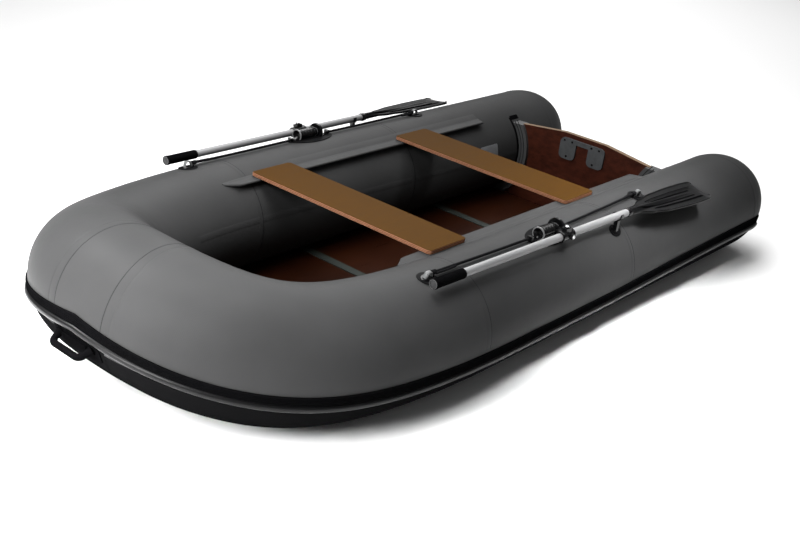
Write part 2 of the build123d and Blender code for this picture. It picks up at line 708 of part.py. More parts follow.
def arch(half, low, knee, lean, high):
    """Upright outline of the strap eye, symmetric about its middle."""
    right = [(half, low), (half, knee), (half - lean, high)]
    return polygon(*right, *[(-x, z) for x, z in reversed(right)])


eye_face = arch(eye_half, -5, 2, EYE_LEAN, EYE_HIGH)
eye_face -= arch(eye_half - EYE_STRAP, -1, 1, EYE_LEAN - EYE_STRAP / 2, EYE_HIGH - EYE_STRAP)
strap_eye = Rot(90, 0, 0) * extrude(eye_face, EYE_WIDE / 2, both=True)
eye_parts, eye_patches = [], []
for x in EYE_X:
    patch = cap_patch(x, eye_y, 2 * EYE_PATCH_R, 2 * EYE_PATCH_R, shell_in, PATCH_T)
    foot = cap_patch(x, eye_y, EYE_FOOT_L, EYE_FOOT_W, plate_r, EYE_FOOT_T)
    eye = (radial_plane(x, eye_y, plate_r) * strap_eye) - along_x(plate_r + 1.0, x - 60, x + 60, TUBE_Y)
    if x > BEND_X:
        patch -= bow_outer
    eye_parts.append(foot + eye)
    eye_patches.append(patch)
eye_parts += [mirrored(p) for p in eye_parts]
eye_patches += [mirrored(p) for p in eye_patches]
nodes["line_fittings"] = Compound(children=eye_parts)
nodes["line_fitting_patches"] = Compound(children=eye_patches)

line_r = plate_r + 3.0 + LINE_R + SEAT
knot_line_r = plate_r + EYE_FOOT_T + SEAT + KNOT_R
line_y = LOCK_Y - 8


def line_point(x, y, r):
    a = math.asin((y - TUBE_Y) / r)
    return Vector(x, y, r * math.cos(a))


def grab_line(p0, p1):
    """A taut line from its knot at p0 to p1."""
    d = (p1 - p0).normalized()
    line = Plane(origin=(p0 + p1) * 0.5, z_dir=d) * Cylinder(LINE_R, (p1 - p0).length)
    return line + Plane(origin=p0 + d * (KNOT_L / 2), z_dir=d) * Cylinder(KNOT_R, KNOT_L)


fore_knot = line_point(EYE_X[0] - eye_half - SEAT, eye_y, knot_line_r)
aft_knot = line_point(EYE_X[1] + eye_half + SEAT, eye_y, knot_line_r)
fore_line = grab_line(fore_knot, line_point(LOCK_X + LUG_FORE + SEAT, line_y, line_r))
aft_line = grab_line(aft_knot, line_point(LOCK_X - LUG_AFT - SEAT, line_y, line_r))
nodes["grab_lines"] = Compound(children=[fore_line, aft_line, mirrored(fore_line), mirrored(aft_line)])

# ---------------------------------------------------------------- bow handle
bow_centre = Vector(*bow_axis(1.0))
handle_at = on_tube(bow_centre, Vector(1, 0, 0), Vector(0, 0, 1), BOW_R + SEAT, -HANDLE_DROP)
plane = Plane(origin=handle_at, x_dir=(0, 1, 0), z_dir=(handle_at - bow_centre).normalized())
slab = RectangleRounded(PLATE_W, PLATE_UP + PLATE_DOWN, 18)
slab = plane * Pos(0, (PLATE_UP - PLATE_DOWN) / 2, 0) * extrude(slab, 60, both=True)
boss = RectangleRounded(HANDLE_SPAN - 2 * HANDLE_R - 10, BOSS_H, BOSS_H / 3)
boss = plane * extrude(boss, 40, both=True)
skin_ts = [T_PANEL - 0.12, T_PANEL, mid_t, 1.0]


def bow_shell(extra):
    """The bow skin's middle, grown by extra."""
    rings = [ring(t, 1, extra) for t in skin_ts]
    rings += [ring(t, -1, extra) for t in reversed(skin_ts[:-1])]
    return loft(rings)


boss_r = BOW_R + SEAT + PLATE_T + HANDLE_BOSS
boss = boss & Pos(BOW_X, 0, BOW_RISE) * Rot(90, 0, 0) * Cylinder(boss_r, PLATE_W)
nodes["bow_handle_plate"] = (slab & bow_shell(SEAT + PLATE_T)) + boss - bow_shell(SEAT)
half = HANDLE_SPAN / 2
with BuildLine(plane) as loop:
    feet = (-half, 0, 1), (half, 0, 1)
    corners = (8 - half, -HANDLE_SAG, HANDLE_OUT), (half - 8, -HANDLE_SAG, HANDLE_OUT)
    FilletPolyline(feet[0], corners[0], corners[1], feet[1], radius=22)
handle = sweep(Plane(origin=loop.line @ 0, z_dir=loop.line % 0) * Circle(HANDLE_R), path=loop.line)
nodes["bow_handle"] = handle - bow_shell(SEAT + PLATE_T + SEAT)

# ---------------------------------------------------------------- valves and label


def valve(origin, normal, thick):
    return Plane(origin=origin, z_dir=normal) * (Pos(0, 0, thick / 2) * Cylinder(VALVE_R, thick))


up_angle = math.asin(rail_z / TUBE_R) - (VALVE_R + VALVE_BELOW) / TUBE_R
up_angle = math.radians(tenth(math.degrees(up_angle)))
n = Vector(0, -math.cos(up_angle), math.sin(up_angle))
side_valve = valve(Vector(VALVE_X, TUBE_Y, 0) + n * (TUBE_R - 2), n, VALVE_T + 2)
side_valve -= along_x(TUBE_R + SEAT, VALVE_X - 100, VALVE_X + 100, TUBE_Y)
c, out, up, d = station(BOW_VALVE_T, 1)
up_angle = math.radians(BOW_VALVE_UP)
n = out * -math.cos(up_angle) + up * math.sin(up_angle)
bow_valve = valve(c + n * (radius(c.X) - 4), n, VALVE_T + 6) - bow_outer
nodes["valves"] = Compound(children=[side_valve, mirrored(side_valve), bow_valve])

up_angle = math.radians(LABEL_UP)
n = Vector(0, math.cos(up_angle), math.sin(up_angle))
shell = pipe(TUBE_R + SEAT, LABEL_T, LABEL_X - LABEL_L, LABEL_X + LABEL_L, -TUBE_Y)
label = Plane(origin=Vector(LABEL_X, -TUBE_Y, 0) + n * TUBE_R, x_dir=(1, 0, 0), z_dir=n)
nodes["info_label"] = shell & (label * extrude(RectangleRounded(LABEL_L, LABEL_H, 6), 30, both=True))

# ---------------------------------------------------------------- place and write
boxes = [n.bounding_box() for n in nodes.values()]
x_mid = (min(b.min.X for b in boxes) + max(b.max.X for b in boxes)) / 2
z_min = min(b.min.Z for b in boxes)
shift = Location((-x_mid, 0, -z_min))
print("x_mid", x_mid, "z_min", z_min)
for name, shape in nodes.items():
    solids = shape.moved(shift).solids()
    moved = Compound(children=list(solids)) if len(solids) > 1 else solids[0]
    box = moved.bounding_box()
    spans = [round(v, 1) for low, high in zip(box.min, box.max) for v in (low, high)]
    volume = round(sum(solid.volume for solid in solids) / 1e6, 3)
    print(name, len(solids), "vol", volume, spans, moved.is_valid)
    export_step(moved, "parts/" + name + ".step")
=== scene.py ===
import math

import bmesh
import bpy
from mathutils import Matrix, Vector, noise


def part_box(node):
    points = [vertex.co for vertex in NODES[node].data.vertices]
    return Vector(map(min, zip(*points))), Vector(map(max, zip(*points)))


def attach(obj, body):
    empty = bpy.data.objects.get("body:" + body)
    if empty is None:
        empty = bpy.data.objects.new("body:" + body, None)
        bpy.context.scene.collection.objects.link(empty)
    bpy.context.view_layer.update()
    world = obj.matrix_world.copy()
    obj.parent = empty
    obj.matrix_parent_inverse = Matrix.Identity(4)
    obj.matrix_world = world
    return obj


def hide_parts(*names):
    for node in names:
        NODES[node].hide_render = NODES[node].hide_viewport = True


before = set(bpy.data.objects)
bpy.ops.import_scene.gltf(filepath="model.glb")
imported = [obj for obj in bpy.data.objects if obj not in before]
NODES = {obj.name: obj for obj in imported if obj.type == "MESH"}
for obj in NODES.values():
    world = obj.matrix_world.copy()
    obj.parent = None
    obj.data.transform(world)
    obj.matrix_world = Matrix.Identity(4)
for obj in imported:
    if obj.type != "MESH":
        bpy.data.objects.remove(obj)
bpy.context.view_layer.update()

SIDES = ((1, "port"), (-1, "starboard"))

# The boat is drawn in millimetres from the transom's front face, the side tubes' axis height and the centreline.
tube_lo, tube_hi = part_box("port_tube")
ORIGIN = Vector((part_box("transom_board")[1].x, 0, (tube_lo.z + tube_hi.z) / 2))
TUBE_R = (tube_hi.z - tube_lo.z) * 500
TUBE_Y = (tube_hi.y + tube_lo.y) * 500
BEND_X = (tube_hi.x - ORIGIN.x) * 1000
TAPER_X = (tube_lo.x - ORIGIN.x) * 1000
# sizes shared with the CAD part, in mm and degrees; a pair keyed 1 and -1 is port and starboard
BOW_X, BOW_R, BOW_RISE = 2527.0, 224.0, 90.0
BOW_A, BOW_B = 789.0, 360.0
RISE_X, RISE_POWER = 1911.0, 3.6
TAPER_LONG, SHOULDER_R, CONE_LONG, CAP_R = 250.0, 165.0, 46.0, 100.0
STRAKE_END_X = -335.0
SEAT = 0.3
LOCK_X, LOCK_Y, LOCK_Z = 1188.0, 594.0, 229.5
OAR_OUT, OAR_YAW, OAR_TIP_X, SOCKET_X = 65.0, 1.8, 1903.0, 796.0
COLLAR_U, PIN_U = 4.0, -6.0
OAR_HANG, OAR_SWING = {1: 0.0, -1: 12.0}, {1: 0.0, -1: 0.5}
BOARD_T, HOLDER_X = 25.0, 16.0
BLADE_TILT, BLADE_DIP, BLADE_L = {1: 11.0, -1: 7.0}, {1: 21.0, -1: 3.0}, 570.0
UP = Vector((0, 0, 1))


def W(p):
    """A drawing point in millimetres as a scene point in metres."""
    return ORIGIN + Vector(p) / 1000


# ---------------------------------------------------------------- the tube's shape
def radius(x):
    """Tube radius at x: constant along the side, a little more at the bow."""
    u = min(max((x - BEND_X) / (BOW_X - BEND_X), 0), 1)
    return TUBE_R + (BOW_R - TUBE_R) * u * u


def bow_axis(t):
    """The axis of the port half of the bow, from the side tube (t = 0) to the centreline (t = 1)."""
    a, b, c, d = (1 - t) ** 3, 3 * (1 - t) ** 2 * t, 3 * (1 - t) * t * t, t ** 3
    x = a * BEND_X + b * (BEND_X + BOW_A) + (c + d) * BOW_X
    u = min(max((x - RISE_X) / (BOW_X - RISE_X), 0), 1)
    z = radius(x) - TUBE_R + (BOW_RISE - BOW_R + TUBE_R) * u ** RISE_POWER
    return Vector((x, (a + b) * TUBE_Y + c * BOW_B, z))


class Station:
    """A cross-section of the port half of the tube: centre, outward and upward directions, radius."""

    def __init__(self, x=None, t=None):
        if t is None:
            self.c, self.out, self.up = Vector((x, TUBE_Y, 0)), Vector((0, 1, 0)), UP
            v = min(max((TAPER_X - x) / TAPER_LONG, 0), 1)
            self.r = TUBE_R * math.sqrt(1 - v * v)
        else:
            e = 1e-4
            self.c = bow_axis(t)
            d = Vector((0, -1, 0)) if t >= 1 else (bow_axis(min(t + e, 1)) - bow_axis(max(t - e, 0))).normalized()
            self.out = Vector((-d.y, d.x, 0)).normalized()
            if self.out.y < 0 or t >= 1:
                self.out = Vector((1, 0, 0)) if t >= 1 else -self.out
            self.up = self.out.cross(d).normalized()
            if self.up.z < 0:
                self.up = -self.up
            self.r = radius(self.c.x)
        self.t = t

    def at(self, deg, h=0.0, side=1):
        """Point at an angle from the outward horizontal, h above the skin."""
        a = math.radians(deg)
        p = self.c + (self.out * math.cos(a) + self.up * math.sin(a)) * (self.r + h)
        return Vector((p.x, p.y * side, p.z))


def t_where(test):
    """The first t along the bow at which the axis point passes the test."""
    lo, hi = 0.0, 1.0
    for _ in range(50):
        mid = (lo + hi) / 2
        lo, hi = (lo, mid) if test(bow_axis(mid)) else (mid, hi)
    return hi


# ---------------------------------------------------------------- meshes
def new_mesh(name, verts, faces, mats, body="hull", slot=None, replaces=(), fmat=None):
    """A smooth-shaded piece that rides a body; fmat gives each face its material's index."""
    me = bpy.data.meshes.new(name)
    me.from_pydata([tuple(v) for v in verts], [], faces)
    me.validate()
    for m in (mats if isinstance(mats, (list, tuple)) else [mats]):
        me.materials.append(m)
    me.polygons.foreach_set("use_smooth", [True] * len(me.polygons))
    if fmat:
        me.polygons.foreach_set("material_index", fmat)
    me.update()
    ob = bpy.data.objects.new(name, me)
    bpy.context.scene.collection.objects.link(ob)
    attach(ob, body)
    if replaces:
        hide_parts(*replaces)
    return ob


def grid(rows, ring=True, loop=False):
    """Faces over rows of points; ring closes each row, loop joins the last row to the first instead of capping."""
    n, verts, faces = len(rows[0]), [p for r in rows for p in r], []
    for i in range(len(rows) if loop else len(rows) - 1):
        k = (i + 1) % len(rows)
        for j in range(n if ring else n - 1):
            faces.append([i * n + j, i * n + (j + 1) % n, k * n + (j + 1) % n, k * n + j])
    if ring and not loop:
        faces += [list(range(n))[::-1], [(len(rows) - 1) * n + j for j in range(n)]]
    return verts, faces


def fix_normals(ob):
    """Turns all faces outward."""
    bm = bmesh.new()
    bm.from_mesh(ob.data)
    bmesh.ops.recalc_face_normals(bm, faces=bm.faces)
    bm.to_mesh(ob.data)
    bm.free()
    return ob


def sharp(ob, deg=35):
    """Smooth shading with creases kept."""
    ob.data.set_sharp_from_angle(angle=math.radians(deg))
    return ob


def bevel(ob, width, segments=2, deg=35):
    """Rounds the edges sharper than deg; width in metres."""
    m = ob.modifiers.new("bevel", "BEVEL")
    m.width, m.segments, m.limit_method, m.angle_limit = width, segments, "ANGLE", math.radians(deg)
    return ob


def lathe(name, profile, mat, place, n=48, closed=False, **kw):
    """Turns (distance along, radius) points about the local X axis; place maps local points to drawing points."""
    rows = []
    for a, r in profile:
        turn = [2 * math.pi * j / n for j in range(n)]
        rows.append([W(place(Vector((a, r * math.cos(q), r * math.sin(q))))) for q in turn])
    v, f = grid(rows, loop=closed)
    return sharp(fix_normals(new_mesh(name, v, f, mat, **kw)))


def tube_along(name, pts, rad, mat, n=16, twist=0.0, lobes=0, depth=0.0, up=UP, **kw):
    """A bar along drawing points, with laid strands if it has lobes; rad is a number or one per point."""
    rows, turn = [], 0.0
    for i, p in enumerate(pts):
        d = (pts[min(i + 1, len(pts) - 1)] - pts[max(i - 1, 0)]).normalized()
        side = d.cross(up).normalized()
        top = side.cross(d).normalized()
        r = rad[i] if isinstance(rad, (list, tuple)) else rad
        if i:
            turn += (pts[i] - pts[i - 1]).length * twist
        row = []
        for j in range(n):
            a = 2 * math.pi * j / n
            rr = r * (1 + depth * (abs(math.cos(lobes * (a + turn) / 2)) - 0.6) if lobes else 1)
            row.append(W(p + side * (rr * math.cos(a)) + top * (rr * math.sin(a))))
        rows.append(row)
    v, f = grid(rows)
    return fix_normals(new_mesh(name, v, f, mat, **kw))


def block(name, size, mat, place, bev=1.5, seg=3, **kw):
    """A box with rounded edges, in local mm, set by place."""
    x, y, z = (s / 2 for s in size)
    pts = [Vector((i * x, j * y, k * z)) for i in (-1, 1) for j in (-1, 1) for k in (-1, 1)]
    faces = [(0, 1, 3, 2), (4, 6, 7, 5), (0, 4, 5, 1), (2, 3, 7, 6), (0, 2, 6, 4), (1, 5, 7, 3)]
    ob = fix_normals(new_mesh(name, [W(place(p)) for p in pts], faces, mat, **kw))
    return bevel(ob, bev / 1000, seg)


def at(matrix):
    """A place that maps local points through a matrix."""
    return lambda p: matrix @ p


# ---------------------------------------------------------------- materials
def material(name, color, rough, metallic=0.0, spec=0.5, coat=0.0):
    """A node material with its uniform numbers set on the shader, and a Tree to add to it."""
    m = bpy.data.materials.new(name)
    m.use_nodes = True
    nt = m.node_tree
    b = nt.nodes["Principled BSDF"]
    b.inputs["Base Color"].default_value = (*color, 1)
    b.inputs["Roughness"].default_value = rough
    b.inputs["Metallic"].default_value = metallic
    b.inputs["Specular IOR Level"].default_value = spec
    b.inputs["Coat Weight"].default_value = coat
    b.inputs["Coat Roughness"].default_value = 0.25
    return m, Tree(nt, b)


class Tree:
    """Short helpers for building a material's nodes."""

    def __init__(self, nt, bsdf):
        self.nt, self.b = nt, bsdf
        self.co = nt.nodes.new("ShaderNodeTexCoord").outputs["Object"]

    def node(self, kind, **inputs):
        n = self.nt.nodes.new("ShaderNode" + kind)
        for k, v in inputs.items():
            key = k.replace("_", " ")
            if key in n.inputs:
                if isinstance(v, bpy.types.NodeSocket):
                    self.nt.links.new(v, n.inputs[key])
                else:
                    n.inputs[key].default_value = v
            else:
                setattr(n, k, v)
        return n

    def link(self, a, b):
        self.nt.links.new(a, b)

    def scaled(self, x, y, z, src=None):
        n = self.node("Mapping")
        self.link(src or self.co, n.inputs["Vector"])
        n.inputs["Scale"].default_value = (x, y, z)
        return n.outputs["Vector"]

    def noise(self, scale, detail=3.0, rough=0.5, vec=None):
        n = self.node("TexNoise", Scale=scale, Detail=detail, Roughness=rough)
        self.link(vec or self.co, n.inputs["Vector"])
        return n.outputs["Fac"]

    def ramp(self, fac, stops):
        n = self.node("ValToRGB")
        self.link(fac, n.inputs["Fac"])
        el = n.color_ramp.elements
        while len(el) < len(stops):
            el.new(0.5)
        for e, (p, c) in zip(el, stops):
            e.position = p
            e.color = (*c, 1) if not isinstance(c, float) else (c, c, c, 1)
        return n.outputs["Color"]

    def math(self, op, a, b=0.0, c=0.0):
        n = self.node("Math")
        n.operation = op
        for i, v in enumerate((a, b, c)):
            if isinstance(v, bpy.types.NodeSocket):
                self.link(v, n.inputs[i])
            else:
                n.inputs[i].default_value = v
        return n.outputs[0]

    def mix(self, fac, a, b):
        n = self.node("Mix")
        n.data_type = "RGBA"
        for i, v in ((0, fac), (6, a), (7, b)):
            if isinstance(v, bpy.types.NodeSocket):
                self.link(v, n.inputs[i])
            elif i == 0:
                n.inputs[i].default_value = v
            else:
                n.inputs[i].default_value = (*v, 1)
        return n.outputs[2]

    def bump(self, height, strength, distance, normal=None):
        n = self.node("Bump", Strength=strength, Distance=distance)
        self.link(height, n.inputs["Height"])
        if normal:
            self.link(normal, n.inputs["Normal"])
        self.link(n.outputs["Normal"], self.b.inputs["Normal"])
        return n.outputs["Normal"]

    def color(self, c):
        self.link(c, self.b.inputs["Base Color"])

    def rough(self, r):
        self.link(r, self.b.inputs["Roughness"])

    def xyz(self, src=None):
        n = self.node("SeparateXYZ")
        self.link(src or self.co, n.inputs[0])
        return n.outputs


def fabric(name, color, rough, spec, weave=0.10, tone=0.12):
    """Coated boat fabric: faint weave under a satin skin."""
    m, t = material(name, color, rough, spec=spec)
    big = t.noise(3.0, 4.0)
    dust = t.noise(45.0, 5.0, 0.7)
    lo = tuple(c * (1 - tone) for c in color)
    hi = tuple(c * (1 + tone) for c in color)
    t.color(t.mix(t.math("MULTIPLY", dust, 0.35), t.ramp(big, [(0.3, lo), (0.7, hi)]), hi))
    t.rough(t.math("MULTIPLY_ADD", dust, 0.10, rough - 0.05))
    threads = []
    for way in ("X", "Z"):
        wave = t.node("TexWave", Scale=95.0, Distortion=0.6)
        wave.bands_direction = way
        t.link(t.co, wave.inputs["Vector"])
        threads.append(wave.outputs["Fac"])
    fine = t.bump(t.math("ADD", *threads), weave, 0.0004)
    t.bump(t.noise(14.0, 2.0), 0.16, 0.004, fine)
    return m


def plastic(name, color, rough, spec, grain, strength, tone=0.15):
    """Moulded plastic or rubber with a fine grain."""
    m, t = material(name, color, rough, spec=spec)
    n = t.noise(30.0, 4.0, 0.6)
    t.color(t.ramp(n, [(0.3, tuple(c * (1 - tone) for c in color)), (0.7, tuple(c * (1 + tone) for c in color))]))
    t.rough(t.math("MULTIPLY_ADD", n, 0.12, rough - 0.06))
    t.bump(t.noise(grain, 2.0), strength, 0.0004)
    return m


def plywood(
        name, face, grain_dark, edge_lo, edge_hi, axis, rough, spec, ply, mottle,
        stretch=(1.2, 9.0, 9.0), coat=0.0):
    """Faced plywood: filmed faces across the axis, pale glued layers on the cut edges."""
    m, t = material(name, face, rough, spec=spec, coat=coat)
    g = t.noise(9.0, 6.0, 0.6, t.scaled(*stretch))
    blot = t.noise(5.0, 3.0, 0.6)
    fc = t.ramp(g, [(0.32, grain_dark), (0.62, face)])
    fc = t.mix(t.math("MULTIPLY", blot, mottle), fc, tuple(min(c * 1.5, 1) for c in face))
    pos = t.xyz()[axis]
    lam = t.math("SINE", t.math("MULTIPLY", pos, ply))
    ec = t.ramp(t.math("MULTIPLY_ADD", lam, 0.5, 0.5), [(0.35, edge_lo), (0.65, edge_hi)])
    ec = t.mix(t.math("MULTIPLY", t.noise(70.0, 3.0), 0.5), ec, edge_lo)
    geo = t.node("NewGeometry")
    facing = t.math("ABSOLUTE", t.xyz(geo.outputs["Normal"])[axis])
    t.color(t.mix(t.math("GREATER_THAN", facing, 0.6), ec, fc))
    t.rough(t.math("MULTIPLY_ADD", g, 0.15, rough - 0.07))
    t.bump(g, 0.10, 0.0006)
    return m


HULL = fabric("hull_pvc", (0.030, 0.0301, 0.0304), 0.48, 0.03)
# painted shade: a near-black copy of the hull fabric for the tube below the strake, where little light reaches
UNDER_SHADE = fabric("under_pvc_painted_shade", (0.004, 0.004, 0.0042), 0.5, 0.0, weave=0.06)
SEAM = fabric("hull_seam_tape", (0.0295, 0.0296, 0.0299), 0.48, 0.03, weave=0.06)
# painted shade: the dark line of shadow along a seam tape's edge, and the dark stripes on the transom holders'
# ribs
SEAM_SHADE_LINE = plastic("hull_seam_painted_shade", (0.010, 0.010, 0.011), 0.6, 0.1, 600.0, 0.1)
BOTTOM = fabric("bottom_pvc", (0.005, 0.0051, 0.0053), 0.5, 0.02, weave=0.2)
RUBBER = plastic("black_rubber", (0.0022, 0.0022, 0.0024), 0.42, 0.0, 600.0, 0.2)
BEAD = plastic("strake_bead", (0.003, 0.003, 0.0032), 0.34, 0.14, 400.0, 0.1)
PATCH = plastic("patch_rubber", (0.0035, 0.0035, 0.0038), 0.5, 0.02, 500.0, 0.25)
BLACK = plastic("black_plastic", (0.0018, 0.0018, 0.002), 0.22, 0.3, 1200.0, 0.03)
BLADE = plastic("blade_plastic", (0.0030, 0.0030, 0.0032), 0.34, 0.07, 300.0, 0.01)
# painted shade: near-black faces in the hollows beside the blade's ribs and spine
GROOVE_SHADE = plastic("blade_groove_painted_shade", (0.0008, 0.0008, 0.0009), 0.6, 0.0, 300.0, 0.01)
GREY = plastic("grey_fitting", (0.085, 0.087, 0.088), 0.4, 0.3, 1200.0, 0.05)
# pale grey: the real ring in the grip's end, and a painted highlight on the oarlock sleeve's mouth rim
PALE_RIM_AND_HIGHLIGHT = plastic("rim_grey_and_painted_highlight", (0.11, 0.11, 0.112), 0.3, 0.4, 1200.0, 0.04)
DISC = plastic("grip_disc", (0.030, 0.030, 0.031), 0.4, 0.2, 900.0, 0.2)
PLATE = plastic("motor_plate", (0.046, 0.048, 0.050), 0.5, 0.15, 700.0, 0.25)
LABEL = plastic("blank_label", (0.13, 0.135, 0.14), 0.4, 0.2, 900.0, 0.05)
PROFILE = plastic("joint_profile", (0.016, 0.019, 0.017), 0.4, 0.2, 900.0, 0.1)
HOLDER = fabric("holder_pvc", (0.040, 0.0408, 0.0414), 0.4, 0.25, weave=0.2)
BENCH = plywood(
    "bench_ply", (0.0415, 0.0185, 0.0030), (0.0355, 0.0156, 0.0025), (0.075, 0.026, 0.013), (0.34, 0.17, 0.10),
    2, 0.5, 0.01, 1250.0, 0.12)
FLOOR = plywood(
    "floor_ply", (0.013, 0.0034, 0.0012), (0.008, 0.0022, 0.001), (0.10, 0.06, 0.035), (0.2, 0.12, 0.08),
    2, 0.3, 0.1, 620.0, 0.2)
TRANSOM = plywood(
    "transom_ply", (0.036, 0.0090, 0.0046), (0.010, 0.0030, 0.0020), (0.09, 0.055, 0.03), (0.19, 0.13, 0.08),
    0, 0.38, 0.1, 900.0, 0.5, stretch=(6, 3, 6), coat=0.05)


def brushed(name, color, rough, metal):
    """Drawn metal with fine lines along X."""
    m, t = material(name, color, rough, metal)
    n = t.noise(60.0, 4.0, 0.7, t.scaled(0.6, 30.0, 30.0))
    t.rough(t.math("MULTIPLY_ADD", n, 0.25, rough - 0.10))
    t.color(t.ramp(n, [(0.3, tuple(c * 0.88 for c in color)), (0.7, color)]))
    t.bump(n, 0.08, 0.0003)
    return m


def stainless():
    """Bare stainless steel."""
    m, t = material("stainless", (0.55, 0.55, 0.56), 0.28, 1.0)
    t.rough(t.math("MULTIPLY_ADD", t.noise(120.0, 3.0), 0.2, 0.18))
    return m


def rope_material():
    """Dark braided cord."""
    m, t = material("rope", (0.006, 0.006, 0.0065), 0.75, spec=0.05)
    v = t.node("TexVoronoi", Scale=420.0)
    t.link(t.co, v.inputs["Vector"])
    t.color(t.ramp(v.outputs["Distance"], [(0.1, (0.006, 0.006, 0.0065)), (0.6, (0.002, 0.002, 0.0025))]))
    t.bump(v.outputs["Distance"], 0.6, 0.0008)
    return m


ALU = brushed("anodised_aluminium", (0.19, 0.19, 0.193), 0.5, 0.2)
STEEL = stainless()
ROPE = rope_material()

# ---------------------------------------------------------------- tube skin
N_RING = 120
CENTRE_HALF = 97.0          # half width of the bow's middle panel
T_PANEL = t_where(lambda p: p.y <= CENTRE_HALF)
SKIN_IN = 0.9               # keeps the uneven skin inside the CAD tube
STRAKE_DEG = 266            # tapes end here, behind the strake
UNDER_SHADE_DEG, UNDER_SHADE_ROW = 270, 17   # painted shade under the strake, a near-black copy of the fabric: its lower edge, and the row where it ends with the strake


def lump(p):
    """Slight unevenness of the blown-up fabric, in mm."""
    return 0.9 * noise.noise(p / 260) + 0.35 * noise.noise(p / 90)


def pucker(st, deg):
    """Small gathers where the fabric is short on the inside of the bend."""
    if st.t is None:
        return 0.0
    inner = max(0.0, -math.cos(math.radians(deg))) ** 2
    bend = math.exp(-((st.t - 0.62) / 0.26) ** 2)
    return 1.1 * inner * bend * math.sin(st.t * 95 + 1.3 * math.sin(deg / 23))


def on_skin(st, deg, side, h=0.0):
    """Scene point h mm above the fabric's uneven surface."""
    return W(st.at(deg, lump(st.at(deg, 0, side)) + pucker(st, deg) - SKIN_IN + h, side))


def skin_row(st, side):
    """One ring of the tube's skin."""
    return [on_skin(st, 360 * j / N_RING, side) for j in range(N_RING)]


def cone_station(x, r):
    """A section of the stern cone, on the side tube's axis."""
    st = Station(x=shoulder_x)
    st.c, st.r = Vector((x, TUBE_Y, 0)), r
    return st


shoulder_x = TAPER_X - TAPER_LONG * math.sqrt(1 - (SHOULDER_R / TUBE_R) ** 2)
cone_x = shoulder_x - CONE_LONG


def stern_rows(side):
    """Skin rows of a stern cone: its flat end, its steep part, then the long taper up to the side tube."""
    rows = []
    for r, dx in ((2, 0), (CAP_R * 0.5, 0), (CAP_R - 6, 0), (CAP_R - 1.5, 1.2)):
        st = cone_station(cone_x + dx, r)
        rows.append([W(st.at(360 * j / N_RING, 0, side)) for j in range(N_RING)])
    for u in (k / 6 for k in range(1, 6)):
        st = cone_station(cone_x + (shoulder_x - cone_x) * u, CAP_R + (SHOULDER_R - CAP_R) * u)
        rows.append(skin_row(st, side))
    return rows + [skin_row(Station(x=shoulder_x + (TAPER_X - shoulder_x) * (i / 14)), side) for i in range(15)]


def shade_under_strake(faces, hi=345, first=0):
    """Material index of each skin face: 1 for the painted shade between keel and strake, from row first on."""
    out = []
    for face in faces:
        turn = [2 * math.pi * (k % N_RING) / N_RING for k in face]
        a = math.degrees(math.atan2(sum(map(math.sin, turn)), sum(map(math.cos, turn)))) % 360
        out.append(int(len(face) == 4 and UNDER_SHADE_DEG <= a <= hi and min(face) >= first * N_RING))
    return out


for side, word in SIDES:
    rows = stern_rows(side)
    rows += [skin_row(Station(x=TAPER_X + (BEND_X - TAPER_X) * i / 52), side) for i in range(1, 53)]
    rows += [skin_row(Station(t=T_PANEL * i / 44), side) for i in range(1, 45)]
    v, f = grid(rows)
    fix_normals(new_mesh(
        word + "_tube_skin", v, f, [HULL, UNDER_SHADE], slot="hull_fabric", fmat=shade_under_strake(f, first=UNDER_SHADE_ROW),
        replaces=(word + "_tube", word + "_stern_cone", "bow_tube_" + word)))
rows = [skin_row(Station(t=T_PANEL + (1 - T_PANEL) * i / 10), 1) for i in range(11)]
rows += [skin_row(Station(t=1 - (1 - T_PANEL) * i / 10), -1) for i in range(1, 11)]
v, f = grid(rows)
fix_normals(new_mesh(
    "bow_centre_skin", v, f, [HULL, UNDER_SHADE], slot="hull_fabric", fmat=shade_under_strake(f, 354),
    replaces=("bow_tube_centre",)))


def tape(name, sts, side, lo, hi, h=0.8, n=110, mat=SEAM):
    """A strip h mm thick over a run of stations, between two angles, its two long edges down on the skin."""
    rows = []
    for i, st in enumerate(sts):
        e = 0.05 if i in (0, len(sts) - 1) else h
        rows.append([on_skin(st, lo + (hi - lo) * j / n, side, e) for j in range(n + 1)])
    v, f = grid(rows, ring=False)
    return new_mesh(name, v, f, mat, slot="hull_fabric")


def speed(t, e=1e-3):
    """Length of bow axis in mm for a unit of t."""
    return (bow_axis(t + e) - bow_axis(t - e)).length / (2 * e)


def t_span(t0, width, steps=4):
    """Stations across a strip of that width in mm, centred on t0 on the bow."""
    return [Station(t=min(t0 + (i / steps - 0.5) * width / speed(t0), 1.0)) for i in range(steps + 1)]


def station_at(x):
    """The station whose axis point lies at x, on the side tube or the bow."""
    return Station(x=x) if x <= BEND_X else Station(t=t_where(lambda p: p.x >= x))


def x_span(x0, width, steps=4):
    """Stations across a strip of that width in mm, centred on x0."""
    return [station_at(x0 + (i / steps - 0.5) * width) for i in range(steps + 1)]


